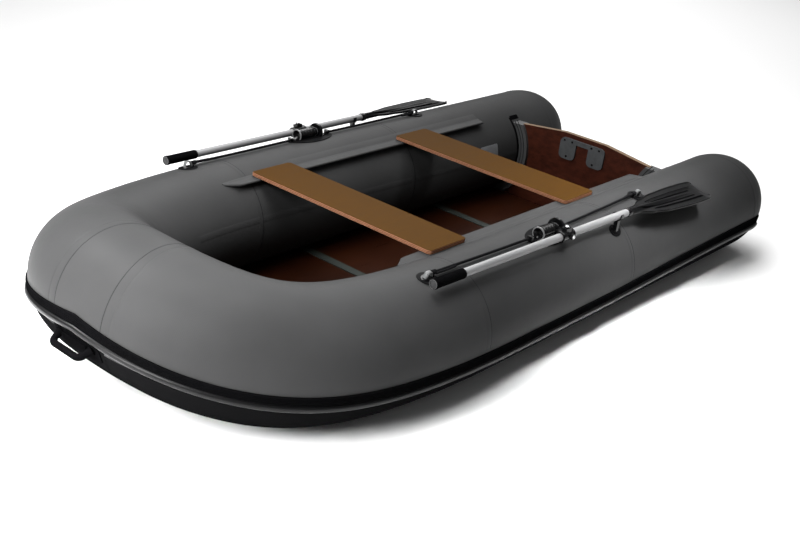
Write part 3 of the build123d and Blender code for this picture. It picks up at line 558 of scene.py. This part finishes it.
SEAM_W, BOW_SEAM_W = 22, 24
INNER_X0, INNER_X1 = 20, 2060
INNER = ((-3.4, 0.05), (-3.0, 0.35), (0, 0.35), (3.0, 0.35), (3.4, 0.05))   # degrees and height across the tape
for side, word in SIDES:
    # taped seams, each with a line of painted shadow along one edge
    tape("seam_bow_" + word, t_span(T_PANEL, BOW_SEAM_W), side, 4, STRAKE_DEG, 0.4)
    fore_edge = t_span(T_PANEL + BOW_SEAM_W / 2 / speed(T_PANEL), 2.0)
    tape("seam_bow_%s_fore" % word, fore_edge, side, 4.4, STRAKE_DEG, mat=SEAM_SHADE_LINE)
    for tag, x, lo in (("side", 1700, -4), ("mid", 800, -1)):
        tape("seam_%s_%s" % (tag, word), x_span(x, SEAM_W), side, lo, STRAKE_DEG, 0.6)
        tape("seam_%s_%s_edge" % (tag, word), x_span(x - SEAM_W / 2, 3.2), side, lo, STRAKE_DEG, mat=SEAM_SHADE_LINE)
    tape("seam_taper_" + word, [Station(x=TAPER_X + 11 - 5.5 * i) for i in range(5)], side, -1, STRAKE_DEG)
    # lengthwise seam low on the inner wall
    rows = []
    for i in range(61):
        x = INNER_X0 + (INNER_X1 - INNER_X0) * i / 60
        mid = 176 - 12 * (x / INNER_X1)
        rows.append([on_skin(station_at(x), mid + d, side, e) for d, e in INNER])
    v, f = grid(rows, ring=False)
    new_mesh("seam_inner_" + word, v, f, SEAM, slot="hull_fabric")


# ---------------------------------------------------------------- transom holders: painted shadow beside them, and ribs drawn dark in painted shade
HOLDER_SHADOW_W = 13
HOLDER_RIB = ((0.2, 0.0), (1.4, 0.8), (1.4, 3.2), (0.2, 4.0))
for side, word in SIDES:
    edge, top = x_span(HOLDER_X + HOLDER_SHADOW_W / 2, HOLDER_SHADOW_W), x_span(-BOARD_T / 2, BOARD_T + 2 * HOLDER_X + 4)
    # painted shadow: black strips on the tube along the holder's fore side and over its top, where the gap between
    # holder and tube lies in shade
    tape("holder_shadow_" + word, edge, side, 129, 243, 0.7, 72, RUBBER)
    tape("holder_shadow_top_" + word, top, side, 127, 133, 0.7, 8, RUBBER)
    # two raised ribs in the painted-shade material give the holder's dark stripes
    for k, up in enumerate((11.0, 25.0)):
        rows = []
        for deg in (137 + 1.5 * i for i in range(58)):
            rows.append([W(Station(x=HOLDER_X + dx).at(deg, up + dh, side)) for dx, dh in HOLDER_RIB])
        v, f = grid(rows, ring=False)
        new_mesh("holder_rib_%s_%d" % (word, k), v, f, SEAM_SHADE_LINE, slot="hull_fabric")

# ---------------------------------------------------------------- seat rails: bonded flanges with a beaded edge
BENCH_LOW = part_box("front_bench_board")[0].z - ORIGIN.z
RAIL_TOP = BENCH_LOW * 1000 - 2.0
RAIL_Y, RAIL_X0, RAIL_X1, RAIL_SLANT = 390.0, 263.0, 1754.0, 60.0
LIP_END = 1560.0            # forward of this the rail's root is low, since the benches pass close to the bend
EDGE_R = 5.0


def inner_wall(st, z):
    """The tube's inboard skin at height z."""
    return st.at(180 - math.degrees(math.asin((z - st.c.z) / st.r)))


def wall_station(x):
    """The station whose inboard skin, level with the rail, lies at x."""
    if x <= BEND_X:
        return Station(x=x)
    lo, hi = 0.0, 1.0
    for _ in range(40):
        mid = (lo + hi) / 2
        lo, hi = (lo, mid) if inner_wall(Station(t=mid), RAIL_TOP).x >= x else (mid, hi)
    return Station(t=hi)


def rail_row(x, side):
    """A closed section of the rail: bonded root, sloping web and round edge."""
    st = wall_station(x)
    lip = max(1.3, min(12.0, (LIP_END - x) / 10))
    root, high, low = (inner_wall(st, z) for z in (RAIL_TOP, RAIL_TOP + lip, RAIL_TOP - EDGE_R))
    full = min(1.0, (x - RAIL_X0 + 20) / 20, (RAIL_X1 + RAIL_SLANT - x) / RAIL_SLANT)
    edge = Vector((root.x, root.y - (root.y - RAIL_Y) * max(full, 0.03), RAIL_TOP - EDGE_R))
    inboard = Vector((0, -1, 0))
    row = [high + st.out * 1.0, high - st.out * 1.3]
    row += [root + UP * 1.2 - st.out * 2.0, root - st.out * 5.0 - UP * 0.2]
    row += [root.lerp(edge + UP * EDGE_R, k) for k in (0.4, 0.75)]
    for k in range(11):
        a = math.radians(100 - 20 * k)
        row.append(edge + inboard * (EDGE_R * math.cos(a)) + UP * (EDGE_R * math.sin(a)))
    row += [edge.lerp(Vector((low.x, low.y, edge.z + 1)), k) + UP for k in (0.3, 0.6)] + [low + st.out * 1.0]
    return [W(Vector((p.x, p.y * side, p.z))) for p in row]


RAIL_XS = [RAIL_X0 - 19.5 + 2.5 * i for i in range(9)]
RAIL_XS += [RAIL_X0 + 3 + (RAIL_X1 - RAIL_X0) * i / 70 for i in range(71)]
RAIL_XS += [RAIL_X1 + 6 + 5.2 * i for i in range(11)]
for side, word in SIDES:
    v, f = grid([rail_row(x, side) for x in RAIL_XS])
    rail = new_mesh(word + "_rail_skin", v, f, HULL, slot="rail_plastic", replaces=(word + "_seat_rail",))
    sharp(fix_normals(rail), 50)


# ---------------------------------------------------------------- rub strake
STRAKE_TOP, STRAKE_MID, STRAKE_LOW, STRAKE_LIFT = -7.0, -16.5, -23.5, 5.0
LIFT_AT = ((BEND_X, 0.0), (900.0, 0.0), (500.0, 0.55), (100.0, 0.9), (TAPER_X, 1.0), (-1000.0, 1.0))


def strake_angles(st):
    """Angles of the band's top, its line with the bead, and the bead's foot; all climb towards both ends."""
    if st.t is None:
        for (xa, ga), (xb, gb) in zip(LIFT_AT, LIFT_AT[1:]):
            if st.c.x >= xb:
                g = STRAKE_LIFT * (ga + (gb - ga) * (xa - st.c.x) / (xa - xb))
                break
        return STRAKE_TOP + g, STRAKE_MID + g, STRAKE_LOW + g
    t = st.t
    return STRAKE_TOP + 14.5 * t ** 3, STRAKE_MID + 15 * t ** 2, STRAKE_LOW + 16 * t ** 2


# sections as (share of the width, height in mm)
BAND = [(0.0, 0.1), (0.01, 2.6), (0.05, 4.0), (0.12, 4.6)]
for k in range(4):
    a = 0.15 + k * 0.19
    BAND += [(a, 4.8), (a + 0.03, 3.4), (a + 0.07, 3.4), (a + 0.10, 4.8), (a + 0.15, 5.2)]
BAND += [(0.94, 4.9), (0.96, 3.0), (1.0, 2.4)]
BEAD_PROFILE = [
    (0.0, 0.6), (0.02, 5.0), (0.08, 8.6), (0.2, 11.3), (0.36, 12.8), (0.5, 13.1), (0.62, 12.6), (0.74, 10.8),
    (0.80, 8.4), (0.81, 5.4), (0.84, 4.4), (0.93, 4.2), (0.98, 3.0), (1.0, 0.1)]


def strake_rows(profile, first, side, sts):
    """Rows of a strip between two neighbouring strake angles, from number first."""
    rows = []
    for st in sts:
        a, b = strake_angles(st)[first:first + 2]
        row = [W(st.at(a + (b - a) * fr, SEAT + h, side)) for fr, h in profile]
        row += [W(st.at(b + (a - b) * k / 3, -0.4, side)) for k in range(4)]
        rows.append(row)
    return rows


xs = [STRAKE_END_X + (TAPER_X - STRAKE_END_X) * i / 8 for i in range(8)]
xs += [TAPER_X + (BEND_X - TAPER_X) * i / 60 for i in range(60)]
half = [Station(x=x) for x in xs] + [Station(t=i / 80) for i in range(81)]
for name, profile, first, mat, gone in (
        ("strake_band", BAND, 0, RUBBER, ("port_rub_strake", "starboard_rub_strake")),
        ("strake_bead", BEAD_PROFILE, 1, BEAD, ("bow_rub_strake_port", "bow_rub_strake_starboard"))):
    v, f = grid(strake_rows(profile, first, 1, half) + strake_rows(profile, first, -1, half[:-1][::-1]))
    sharp(fix_normals(new_mesh(name, v, f, mat, slot="strake_rubber", replaces=gone)), 50)


# ---------------------------------------------------------------- materials on the CAD nodes
CAD_MATS = {
    "hull_bottom": BOTTOM, "floorboards": FLOOR, "floor_joint_profiles": PROFILE, "transom_board": TRANSOM,
    "motor_plate_inner": PLATE, "motor_plate_outer": PLATE, "front_bench_board": BENCH, "rear_bench_board": BENCH,
    "front_bench_runners": BLACK, "rear_bench_runners": BLACK, "oarlock_patches": PATCH, "oar_clip_patches": PATCH,
    "line_fitting_patches": PATCH, "bow_handle_plate": RUBBER, "info_label": LABEL, "oar_clips": BLACK,
}
for side, word in SIDES:
    CAD_MATS.update({
        word + "_transom_holder": HOLDER, word + "_oarlock_base": BLACK, word + "_oarlock_swivel": BLACK,
        word + "_oar_collar": BLACK, word + "_oar_shaft": ALU, word + "_oar_grip": RUBBER,
        word + "_oar_blade": BLADE})
for name, mat in CAD_MATS.items():
    for material_slot in NODES[name].material_slots:
        material_slot.material = mat


# ---------------------------------------------------------------- oars
MIRROR = Matrix.Scale(-1, 4, Vector((0, 1, 0)))


def lock_frame(side, hang=True):
    """The spindle's frame on either side; starboard is the mirror image of port."""
    m = Matrix.Translation((LOCK_X, LOCK_Y, LOCK_Z))
    if hang:
        m = m @ Matrix.Rotation(math.radians(-OAR_HANG[side]), 4, "X")
    return m if side > 0 else MIRROR @ m


def oar_place(side):
    """The oar's own frame, with X along the shaft from the collar's middle."""
    m = Matrix.Translation((PIN_U, OAR_OUT, 0)) @ Matrix.Rotation(math.radians(-OAR_SWING[side]), 4, "Y")
    m = m @ Matrix.Translation((COLLAR_U - PIN_U, 0, 0)) @ Matrix.Rotation(math.radians(-OAR_YAW), 4, "Z")
    return lock_frame(side) @ m


# the blade's outline, (mm from the socket, half width), and the shares of its half width at which it is drawn
BLADE_OUTLINE = ((0, 16), (70, 20), (150, 44), (250, 60), (380, 67.5), (500, 68), (545, 66), (562, 60), (570, 46))
ACROSS = [-1, -0.985, -0.96, -0.93, -0.9, -0.85, -0.75, -0.65, -0.58, -0.53, -0.48, -0.43, -0.38]
ACROSS += [-0.3, -0.24, -0.18, -0.12, -0.06, 0]
ACROSS += [-q for q in ACROSS[:-1][::-1]]
EDGE_H, RIM_H, RIB_H, TIP_H = 1.9, 3.0, 3.6, 2.6
RIB_AT, RIB_W, RIB_U0, RIB_U1 = 0.48, 0.055, 170, 540
BLADE_ROWS = 90


def blade_half(u):
    """Half width of the blade, u mm from the socket; the shoulder is eased."""
    for (a, wa), (b, wb) in zip(BLADE_OUTLINE, BLADE_OUTLINE[1:]):
        if u <= b:
            k = (u - a) / (b - a)
            k = k * k * (3 - 2 * k) if b <= 250 else k
            return wa + (wb - wa) * k
    return BLADE_OUTLINE[-1][1]


def blade_height(u, v):
    """Half thickness at u along and v across (-1..1): rim, spine, one rib each side, and a raised tip."""
    h = EDGE_H
    rim = max(0.0, (abs(v) - 0.9) / 0.1)
    h += RIM_H * min(1.0, rim * 2) if abs(v) < 0.985 else 0.4
    y = abs(v) * blade_half(u)
    spine = 14.0 * max(0.0, 1 - u / 520) ** 0.8 + 1.2
    sw = 15.5 * max(0.25, 1 - u / 600)
    if u < 530:
        h = max(h, EDGE_H + (spine - 1.2) * math.exp(-(y / sw * 1.35) ** 4))
    if RIB_U0 < u < RIB_U1:
        e = min(1.0, (u - RIB_U0) / 30, (RIB_U1 - u) / 20)
        h += RIB_H * e * math.exp(-((abs(v) - RIB_AT) / RIB_W) ** 2)
    if u > 548:
        h += TIP_H * min(1, (u - 548) / 8) * (1 if u < 566 else 0.3)
    return h


def groove_shade(u, j):
    """1 for face j of a row that takes the painted shade beside a rib or the spine, and 0 elsewhere."""
    j %= len(ACROSS)
    if j == len(ACROSS) - 1:
        return 0
    mid = abs(ACROSS[j] + ACROSS[j + 1]) / 2
    return int(RIB_U0 < u < RIB_U1 - 5 and 0.5 < mid < 0.6 or 60 < u < 500 and 0.2 < mid < 0.3)


# grip and blade socket; sections as (mm along the shaft from the end, radius)
GRIP_L, GRIP_R, GRIP_PITCH = 146.0, 17.0, 6.5
GRIP_END = (
    (-12, GRIP_R), (-10, 18.0), (-3, 18.0), (-0.8, 17.2), (0, 15.0), (0, 13.5), (-1.5, 13.0), (-1.5, 1.0))
GRIP_RING = ((-0.6, 15.6), (0.2, 15.4), (0.2, 14.2), (-0.8, 14.0))
GRIP_DISC = ((-1.5, 13.4), (-0.7, 12.6), (-0.9, 6.5), (-0.3, 5.0), (-0.1, 2.5), (-0.1, 0.3))
SOCKET = ((-2, 14.3), (-2, 16.5), (-6, 17.6), (-20, 17.6), (-24, 16.6), (-26, 14.0))
for side, word in SIDES:
    M = oar_place(side)
    along = M.to_3x3() @ Vector((1, 0, 0))
    fore, aft = (OAR_TIP_X - M.translation.x) / along.x, (M.translation.x - SOCKET_X) / along.x
    kw = {"body": word + "_oar", "slot": "grip_rubber"}
    # ribbed grip with a pale ring in its end
    a = fore - GRIP_L
    prof = [(a, 14.4), (a + 0.5, 16.2), (a + 3, GRIP_R), (a + 9, GRIP_R)]
    k = a + 12
    while k < fore - 22:
        prof += [(k, GRIP_R), (k + 1.0, GRIP_R - 0.6), (k + 2.4, GRIP_R - 0.6), (k + 3.4, GRIP_R)]
        k += GRIP_PITCH
    prof += [(fore + da, r) for da, r in GRIP_END]
    lathe(word + "_grip", prof, RUBBER, at(M), replaces=(word + "_oar_grip",), **kw)
    lathe(word + "_grip_ring", [(fore + da, r) for da, r in GRIP_RING], PALE_RIM_AND_HIGHLIGHT, at(M), closed=True, **kw)
    lathe(word + "_grip_disc", [(fore + da, r) for da, r in GRIP_DISC], DISC, at(M), **kw)
    # blade, with its socket ring where it holds the shaft
    dip = math.atan(BLADE_DIP[side] / BLADE_L)
    tilt = math.radians(BLADE_TILT[side] - OAR_HANG[side])
    B = M @ Matrix.Translation((-aft, 0, 0)) @ Matrix.Rotation(-dip, 4, "Y") @ Matrix.Rotation(-tilt, 4, "X")
    us = [1 + (BLADE_L - 1) * (i / BLADE_ROWS) for i in range(BLADE_ROWS + 1)]
    rows = []
    for u in us:
        hw, camber, row = blade_half(u), 5.0 * (u / BLADE_L) ** 2, []
        for face, vs in ((1, ACROSS), (-0.85, ACROSS[::-1])):
            for v in vs:
                row.append(W(B @ Vector((-u, v * hw, face * blade_height(u, v) - camber * (1 - v * v) * 0.6))))
        rows.append(row)
    v, f = grid(rows)
    kw = {"body": word + "_oar", "slot": "blade_plastic"}
    fmat = [groove_shade(us[i // len(rows[0])], i) for i in range(len(f) - 2)] + [0, 0]
    blade = new_mesh(word + "_blade", v, f, [BLADE, GROOVE_SHADE], fmat=fmat, replaces=(word + "_oar_blade",), **kw)
    sharp(fix_normals(blade), 60)
    lathe(word + "_socket_ring", SOCKET, BLACK, at(B), **kw)


# ---------------------------------------------------------------- oarlock details
# sections as (mm along the axis, radius)
MOUTH = (
    (73.8, 23.4), (73.8, 24.6), (74.6, 25.2), (77.4, 25.2), (78.4, 24.4), (78.6, 21.4), (77.6, 20.4), (76.4, 21.4))
BACK = ((-10.4, 20.4), (-10.4, 22.6), (-9.6, 23.3), (-6.6, 23.3), (-5.8, 22.4), (-5.8, 20.4))
SLEEVE_RIB = ((-2.6, 19.6), (-1.6, 21.2), (1.6, 21.2), (2.6, 19.6))
ARM_RING = ((-30.6, 13.6), (-30.6, 15.4), (-28.6, 16.0), (-26.6, 15.4), (-26.6, 13.6))
NUT = ((-6, 10.9), (0, 10.9), (1.8, 8.6), (1.8, 6.6))
PIN_END = ((1.6, 6.2), (3.6, 6.0), (4.4, 4.6), (4.4, 0.4))
CLAMP_BOLT = ((0, 8.2), (2.4, 8.2), (4.4, 6.0), (4.8, 0.4))
COLLAR_BAND = ((0, 18.6), (0, 20.2), (1.2, 21.0), (4.8, 21.0), (6, 20.2), (6, 18.6))
NUT_OUT, BOLT_UP = 27.2, 33.0
for side, word in SIDES:
    fixed, swung, oar = at(lock_frame(side, hang=False)), lock_frame(side), oar_place(side)
    kw = {"slot": "black_plastic"}
    # painted highlight: the pale ring at the sleeve's mouth stands in for the light caught on its rim
    lathe(word + "_mouth_rim", MOUTH, PALE_RIM_AND_HIGHLIGHT, fixed, closed=True, **kw)
    lathe(word + "_back_rim", BACK, BLACK, fixed, closed=True, **kw)
    for k, a in enumerate((8, 24, 40, 56)):
        rib = [(a + da, r) for da, r in SLEEVE_RIB]
        lathe("%s_sleeve_rib_%d" % (word, k), rib, BLACK, fixed, closed=True, **kw)
    # the arm's grey ring, the hex nut and pin end that face outboard, and the head of the collar's bolt
    kw["body"] = word + "_oar"
    lathe(word + "_arm_ring", ARM_RING, GREY, at(swung), closed=True, **kw)
    nut = at(swung @ Matrix.Translation((PIN_U, OAR_OUT + NUT_OUT, 0)) @ Matrix.Rotation(math.pi / 2, 4, "Z"))
    lathe(word + "_pin_nut", NUT, GREY, nut, n=6, **kw)
    lathe(word + "_pin_end", PIN_END, STEEL, nut, n=24, **kw)
    bolt = at(oar @ Matrix.Translation((0, 0, BOLT_UP)) @ Matrix.Rotation(-math.pi / 2, 4, "Y"))
    lathe(word + "_clamp_bolt", CLAMP_BOLT, STEEL, bolt, n=24, **kw)
    for k, a in enumerate((-34.5, 28.5)):
        band = [(a + da, r) for da, r in COLLAR_BAND]
        lathe("%s_collar_band_%d" % (word, k), band, BLACK, at(oar), closed=True, **kw)

# ---------------------------------------------------------------- rope fittings
EYE_Y = TUBE_Y + 33
EYE_XS = (("fore", 1850.0), ("aft", 540.0))
PLATE_R = TUBE_R + 2.6
FOOT_LONG, FOOT_WIDE = 29, 18
FOOT = ((1.0, 0.0), (1.0, 1.9), (0.95, 3.0), (0.7, 3.2), (0.02, 3.2))   # (share of the oval, height)
STRAP_ARCH = [(-16, 1.5), (-15.4, 6), (-13.6, 12), (-11.5, 17), (-9, 19.6), (-5.5, 20.6), (0, 20.8)]
STRAP_ARCH += [(-u, h) for u, h in STRAP_ARCH[-2::-1]]
STRAP = ((-6.6, -1.2), (-6.6, 1.2), (-5.6, 2.0), (5.6, 2.0), (6.6, 1.2), (6.6, -1.2), (5.6, -2.0), (-5.6, -2.0))


def on_patch(x, v, h, side):
    """Point at x, v mm across from the line of the eyes, h above the patches of the side tube."""
    a, r = math.asin((EYE_Y - TUBE_Y) / PLATE_R) + v / PLATE_R, PLATE_R + h
    return W(Vector((x, side * (TUBE_Y + r * math.sin(a)), r * math.cos(a))))


def fitting(name, x, side, **kw):
    """An oval foot with an arched strap of paler plastic over it."""
    turn, rows = [2 * math.pi * j / 48 for j in range(48)], []
    for k, h in FOOT:
        a, b = FOOT_LONG * k, FOOT_WIDE * k
        rows.append([on_patch(x + a * math.cos(q), b * math.sin(q), h, side) for q in turn])
    v, f = grid(rows)
    sharp(fix_normals(new_mesh(name + "_foot", v, f, BLACK, slot="fitting_grey", **kw)))
    rows = []
    for i, (u, h) in enumerate(STRAP_ARCH):
        p, q = STRAP_ARCH[max(i - 1, 0)], STRAP_ARCH[min(i + 1, len(STRAP_ARCH) - 1)]
        ln = math.hypot(q[0] - p[0], q[1] - p[1])
        nu, nh = -(q[1] - p[1]) / ln, (q[0] - p[0]) / ln
        rows.append([on_patch(x + u + nu * w, v, h + nh * w, side) for v, w in STRAP])
    v, f = grid(rows)
    sharp(fix_normals(new_mesh(name + "_strap", v, f, GREY, slot="fitting_grey")), 50)


# ---------------------------------------------------------------- grab lines
LINE_R, KNOT_R, TAIL_R = 4.7, 3.9, 4.0
KNOT_L, KNOT_OUT, TAIL_OUT, TAIL_N = 24.0, 4.6, 8.4, 46
EYE_HALF, LUG_IN = 17.0, 8.0
ROPE_H, KNOT_H, ROPE_SAG = 7.8, 11.8, 1.2
# each run: its eye, the way from the eye to the oarlock, the lug's distance, the tail's share of the run
RUNS = (("fore", -1, 122.3, 0.21), ("aft", 1, -100.3, 0.12))


def line_pt(x, y, h, side):
    """Point at x and y, h above the patches of the side tube."""
    r = PLATE_R + h
    return Vector((x, side * y, math.sqrt(r * r - (y - TUBE_Y) ** 2)))


def rope(name, pts, rad, **kw):
    """Laid rope of four strands."""
    tube_along(name, pts, rad, ROPE, n=14, twist=0.55, lobes=4, depth=0.3, slot="rope", **kw)


for side, word in SIDES:
    for tag, x in EYE_XS:
        gone = {"replaces": ("line_fittings",)} if (side, tag) == (1, "fore") else {}
        fitting("%s_eye_%s" % (word, tag), x, side, **gone)
    for (tag, way, lug, reach), (_, x) in zip(RUNS, EYE_XS):
        pa = line_pt(x + way * EYE_HALF, EYE_Y, KNOT_H, side)
        pb = line_pt(LOCK_X + lug, LOCK_Y - LUG_IN, ROPE_H, side)
        pts = [pa.lerp(pb, i / 240) - UP * (ROPE_SAG * math.sin(math.pi * i / 240)) for i in range(241)]
        gone = {"replaces": ("grab_lines",)} if (side, tag) == (1, "fore") else {}
        rope("%s_line_%s" % (word, tag), pts, LINE_R, **gone)
        # the knot: two and a half turns of the same rope round the line
        d = (pb - pa).normalized()
        e1 = d.cross(UP).normalized()
        e2 = e1.cross(d)
        knot = []
        for i in range(61):
            q = 5 * math.pi * i / 60
            k = pa + d * (2 + (KNOT_L - 6) * (i / 60 + 0.10 * math.sin(2 * q)))
            knot.append(k + e1 * (KNOT_OUT * math.cos(q)) + e2 * (KNOT_OUT * math.sin(q)))
        rope("%s_knot_%s" % (word, tag), knot, KNOT_R)
        # its tail lies beside the line and thins at the end
        tail = []
        for u in (i / (TAIL_N - 1) for i in range(TAIL_N)):
            p = pa.lerp(pb, 0.03 + u * reach)
            tail.append(p + e1 * (side * TAIL_OUT * (1 - 0.6 * u ** 3)) - UP * (1.5 + 1.2 * u))
        radii = [TAIL_R] * (TAIL_N - 6) + [TAIL_R * (1 - i / 6 * 0.6) for i in range(6)]
        rope("%s_tail_%s" % (word, tag), tail, radii)

# ---------------------------------------------------------------- bow handle
HANDLE_DROP, HANDLE_SPAN, HANDLE_OUT, HANDLE_R, HANDLE_SAG = 15.5, 150.0, 43.0, 11.0, 8.0
CORNER_IN, FOOT_H, BEND_R = 8.0, 2.0, 22.0


def rounded(pts, r, steps=8):
    """The polyline with its inner corners turned into arcs of radius r."""
    out = [pts[0]]
    for a, b, c in zip(pts, pts[1:], pts[2:]):
        p, q = (a - b).normalized(), (c - b).normalized()
        half = p.angle(q) / 2
        centre = b + (p + q).normalized() * (r / math.sin(half))
        s, e = b + p * (r / math.tan(half)) - centre, b + q * (r / math.tan(half)) - centre
        turn = s.angle(e)
        for i in range(steps + 1):
            k = i / steps
            out.append(centre + (s * math.sin((1 - k) * turn) + e * math.sin(k * turn)) / math.sin(turn))
    return out + [pts[-1]]


bow_end = Station(t=1.0)
drop = math.radians(HANDLE_DROP)
h_out = Vector((math.cos(drop), 0, -math.sin(drop)))
h_up = Vector((math.sin(drop), 0, math.cos(drop)))
h_at = bow_end.c + h_out * (bow_end.r + SEAT)
foot, corner = HANDLE_SPAN / 2, HANDLE_SPAN / 2 - CORNER_IN
shape = (
    (-foot, 0, FOOT_H), (-corner, -HANDLE_SAG, HANDLE_OUT), (corner, -HANDLE_SAG, HANDLE_OUT), (foot, 0, FOOT_H))
path = rounded([h_at + Vector((0, a, 0)) + h_up * b + h_out * c for a, b, c in shape], BEND_R)
legs = path[:1] + [path[0].lerp(path[1], k) for k in (0.15, 0.3, 0.5, 0.75)]
path = legs + path[1:-1] + [path[-2].lerp(path[-1], k) for k in (0.25, 0.5, 0.7, 0.85)] + path[-1:]
n = len(path)
flare = [1.45, 1.32, 1.16, 1.05, 1.0]
rad = [HANDLE_R * (flare[i] if i < 5 else flare[n - 1 - i] if i >= n - 5 else 1.0) for i in range(n)]
tube_along("bow_handle_loop", path, rad, RUBBER, n=24, up=h_up, slot="handle_rubber", replaces=("bow_handle",))

# ---------------------------------------------------------------- valves
def frame_on(origin, normal):
    """A place on the skin, with local X along the normal."""
    side_dir = normal.cross(UP).normalized()
    up_dir = side_dir.cross(normal)
    return Matrix.Translation(origin) @ Matrix((normal, side_dir, up_dir)).transposed().to_4x4()


VALVE_X, VALVE_DEG, BOW_VALVE_T, BOW_VALVE_DEG = 600.0, 40.0, 0.72, 30.0
VALVE = (
    (-3, 32), (2.0, 32), (2.8, 31.2), (3.0, 27.6), (7.6, 27.4), (8.8, 26.2), (8.9, 22.6), (7.4, 22.0), (7.4, 8.8),
    (8.8, 8.2), (8.8, 0.4))
KNURL, KNURL_AT, KNURLS = (4.4, 1.6, 5.0), (5.2, 27.6, 0), 12
spots = []
a = math.radians(VALVE_DEG)
for side, word in SIDES:
    normal = Vector((0, -side * math.cos(a), math.sin(a)))
    spots.append((Vector((VALVE_X, side * TUBE_Y, 0)) + normal * TUBE_R, normal))
st, a = Station(t=BOW_VALVE_T), math.radians(BOW_VALVE_DEG)
normal = (st.up * math.sin(a) - st.out * math.cos(a)).normalized()
spots.append((st.c + normal * st.r, normal))
for k, (origin, normal) in enumerate(spots):
    F = frame_on(origin, normal)
    gone = {"replaces": ("valves",)} if k == 0 else {}
    lathe("valve_%d" % k, VALVE, BLACK, at(F), slot="valve_plastic", **gone)
    for j in range(KNURLS):
        knurl = at(F @ Matrix.Rotation(2 * math.pi * j / KNURLS, 4, "X") @ Matrix.Translation(KNURL_AT))
        block("valve_%d_knurl_%d" % (k, j), KNURL, BLACK, knurl, 0.6, 2, slot="valve_plastic")

# ---------------------------------------------------------------- motor plate screws
SCREW = ((-0.5, 5.2), (0.6, 5.4), (1.4, 4.6), (1.7, 2.6), (0.9, 2.2), (0.9, 0.4))
PLATE_X = 8.3
for k, (y, z) in enumerate(((-96, 146), (-56, 146), (-76, 74), (48, 148), (88, 148), (66, 74))):
    seat = at(Matrix.Translation((PLATE_X, y, z)))
    lathe("plate_screw_%d" % k, SCREW, BLACK, seat, n=20, slot="motor_plate_plastic")

# ---------------------------------------------------------------- stage, light, camera
FLOOR_HALF = 30     # metres
floor_mesh = bpy.data.meshes.new("stage_floor")
corners = [(i * FLOOR_HALF, j * FLOOR_HALF, 0) for i, j in ((-1, -1), (1, -1), (1, 1), (-1, 1))]
floor_mesh.from_pydata(corners, [], [(0, 1, 2, 3)])
floor_mesh.materials.append(material("stage_pale", (0.86, 0.86, 0.86), 0.7, spec=0.2)[0])
fl = bpy.data.objects.new("stage_floor", floor_mesh)
bpy.context.scene.collection.objects.link(fl)

world = bpy.data.worlds.new("world")
bpy.context.scene.world = world
world.use_nodes = True
bg = world.node_tree.nodes["Background"]
bg.inputs["Color"].default_value = (1, 1, 1, 1)
bg.inputs["Strength"].default_value = 0.18


def area(name, loc, target, width, depth, power, spread=180):
    """A rectangular lamp at loc that faces target; a small spread keeps its light off what lies beside."""
    lamp = bpy.data.lights.new(name, "AREA")
    lamp.shape = "RECTANGLE"
    lamp.size, lamp.size_y, lamp.energy = width, depth, power
    lamp.spread = math.radians(spread)
    ob = bpy.data.objects.new(name, lamp)
    bpy.context.scene.collection.objects.link(ob)
    ob.location = loc
    ob.rotation_euler = (Vector(target) - Vector(loc)).to_track_quat("-Z", "Y").to_euler()


area("top_soft", (0.0, -0.9, 4.6), (0, -0.2, 0), 4.5, 2.6, 310)
area("far_side", (-3.5, -3.5, 2.5), (1.0, 0.2, 0.4), 2.4, 1.2, 6, 70)
area("mid_top", (1.5, 0, 2.6), (1.5, 0, 0), 2.0, 1.6, 22, 70)
area("bow_top", (2.7, 0, 2.6), (2.7, 0, 0), 2.0, 1.3, 22, 70)
area("bow_side", (2.2, -2.3, 2.8), (2.8, -0.5, 0.4), 1.2, 1.0, 70, 60)
area("bow_low", (5.6, -0.8, 1.8), (3.0, -0.1, 0.35), 1.6, 1.2, 42, 60)
area("bow_key", (5.0, 0.5, 3.2), (2.5, 0, 0.3), 1.8, 1.8, 62, 60)
area("stern_top", (-1.0, 1.3, 2.6), (-0.5, 0.65, 0.4), 1.0, 0.8, 9, 30)
area("floor_wash_bow", (5.2, 0.8, 5.0), (5.2, 0.8, 0), 3.0, 2.0, 30, 60)
area("floor_wash_stern", (-6.0, -4.0, 6.0), (-6.0, -5.0, 0), 6.0, 6.0, 460)

# the camera's place in drawing mm, its aim in radians, its lens in mm and its shifts
CAMERA_AT = (4561.7, 2530.8, 1731.4)
YAW, PITCH, ROLL = -2.4777, -0.4219, 0.1275
LENS, SENSOR, SHIFT_X, SHIFT_Y = 52.796925, 36.0, 0.0160875, 0.000775
fwd = Vector((math.cos(PITCH) * math.cos(YAW), math.cos(PITCH) * math.sin(YAW), math.sin(PITCH)))
right = fwd.cross(UP).normalized()
up = right.cross(fwd)
right, up = right * math.cos(ROLL) + up * math.sin(ROLL), up * math.cos(ROLL) - right * math.sin(ROLL)
lens = bpy.data.cameras.new("camera")
lens.sensor_fit, lens.sensor_width, lens.lens = "HORIZONTAL", SENSOR, LENS
lens.shift_x, lens.shift_y, lens.clip_end = SHIFT_X, SHIFT_Y, 200
camera = bpy.data.objects.new("camera", lens)
bpy.context.scene.collection.objects.link(camera)
camera.matrix_world = Matrix.Translation(W(CAMERA_AT)) @ Matrix((right, up, -fwd)).transposed().to_4x4()
bpy.context.scene.camera = camera
bpy.context.scene.view_settings.view_transform = "Standard"
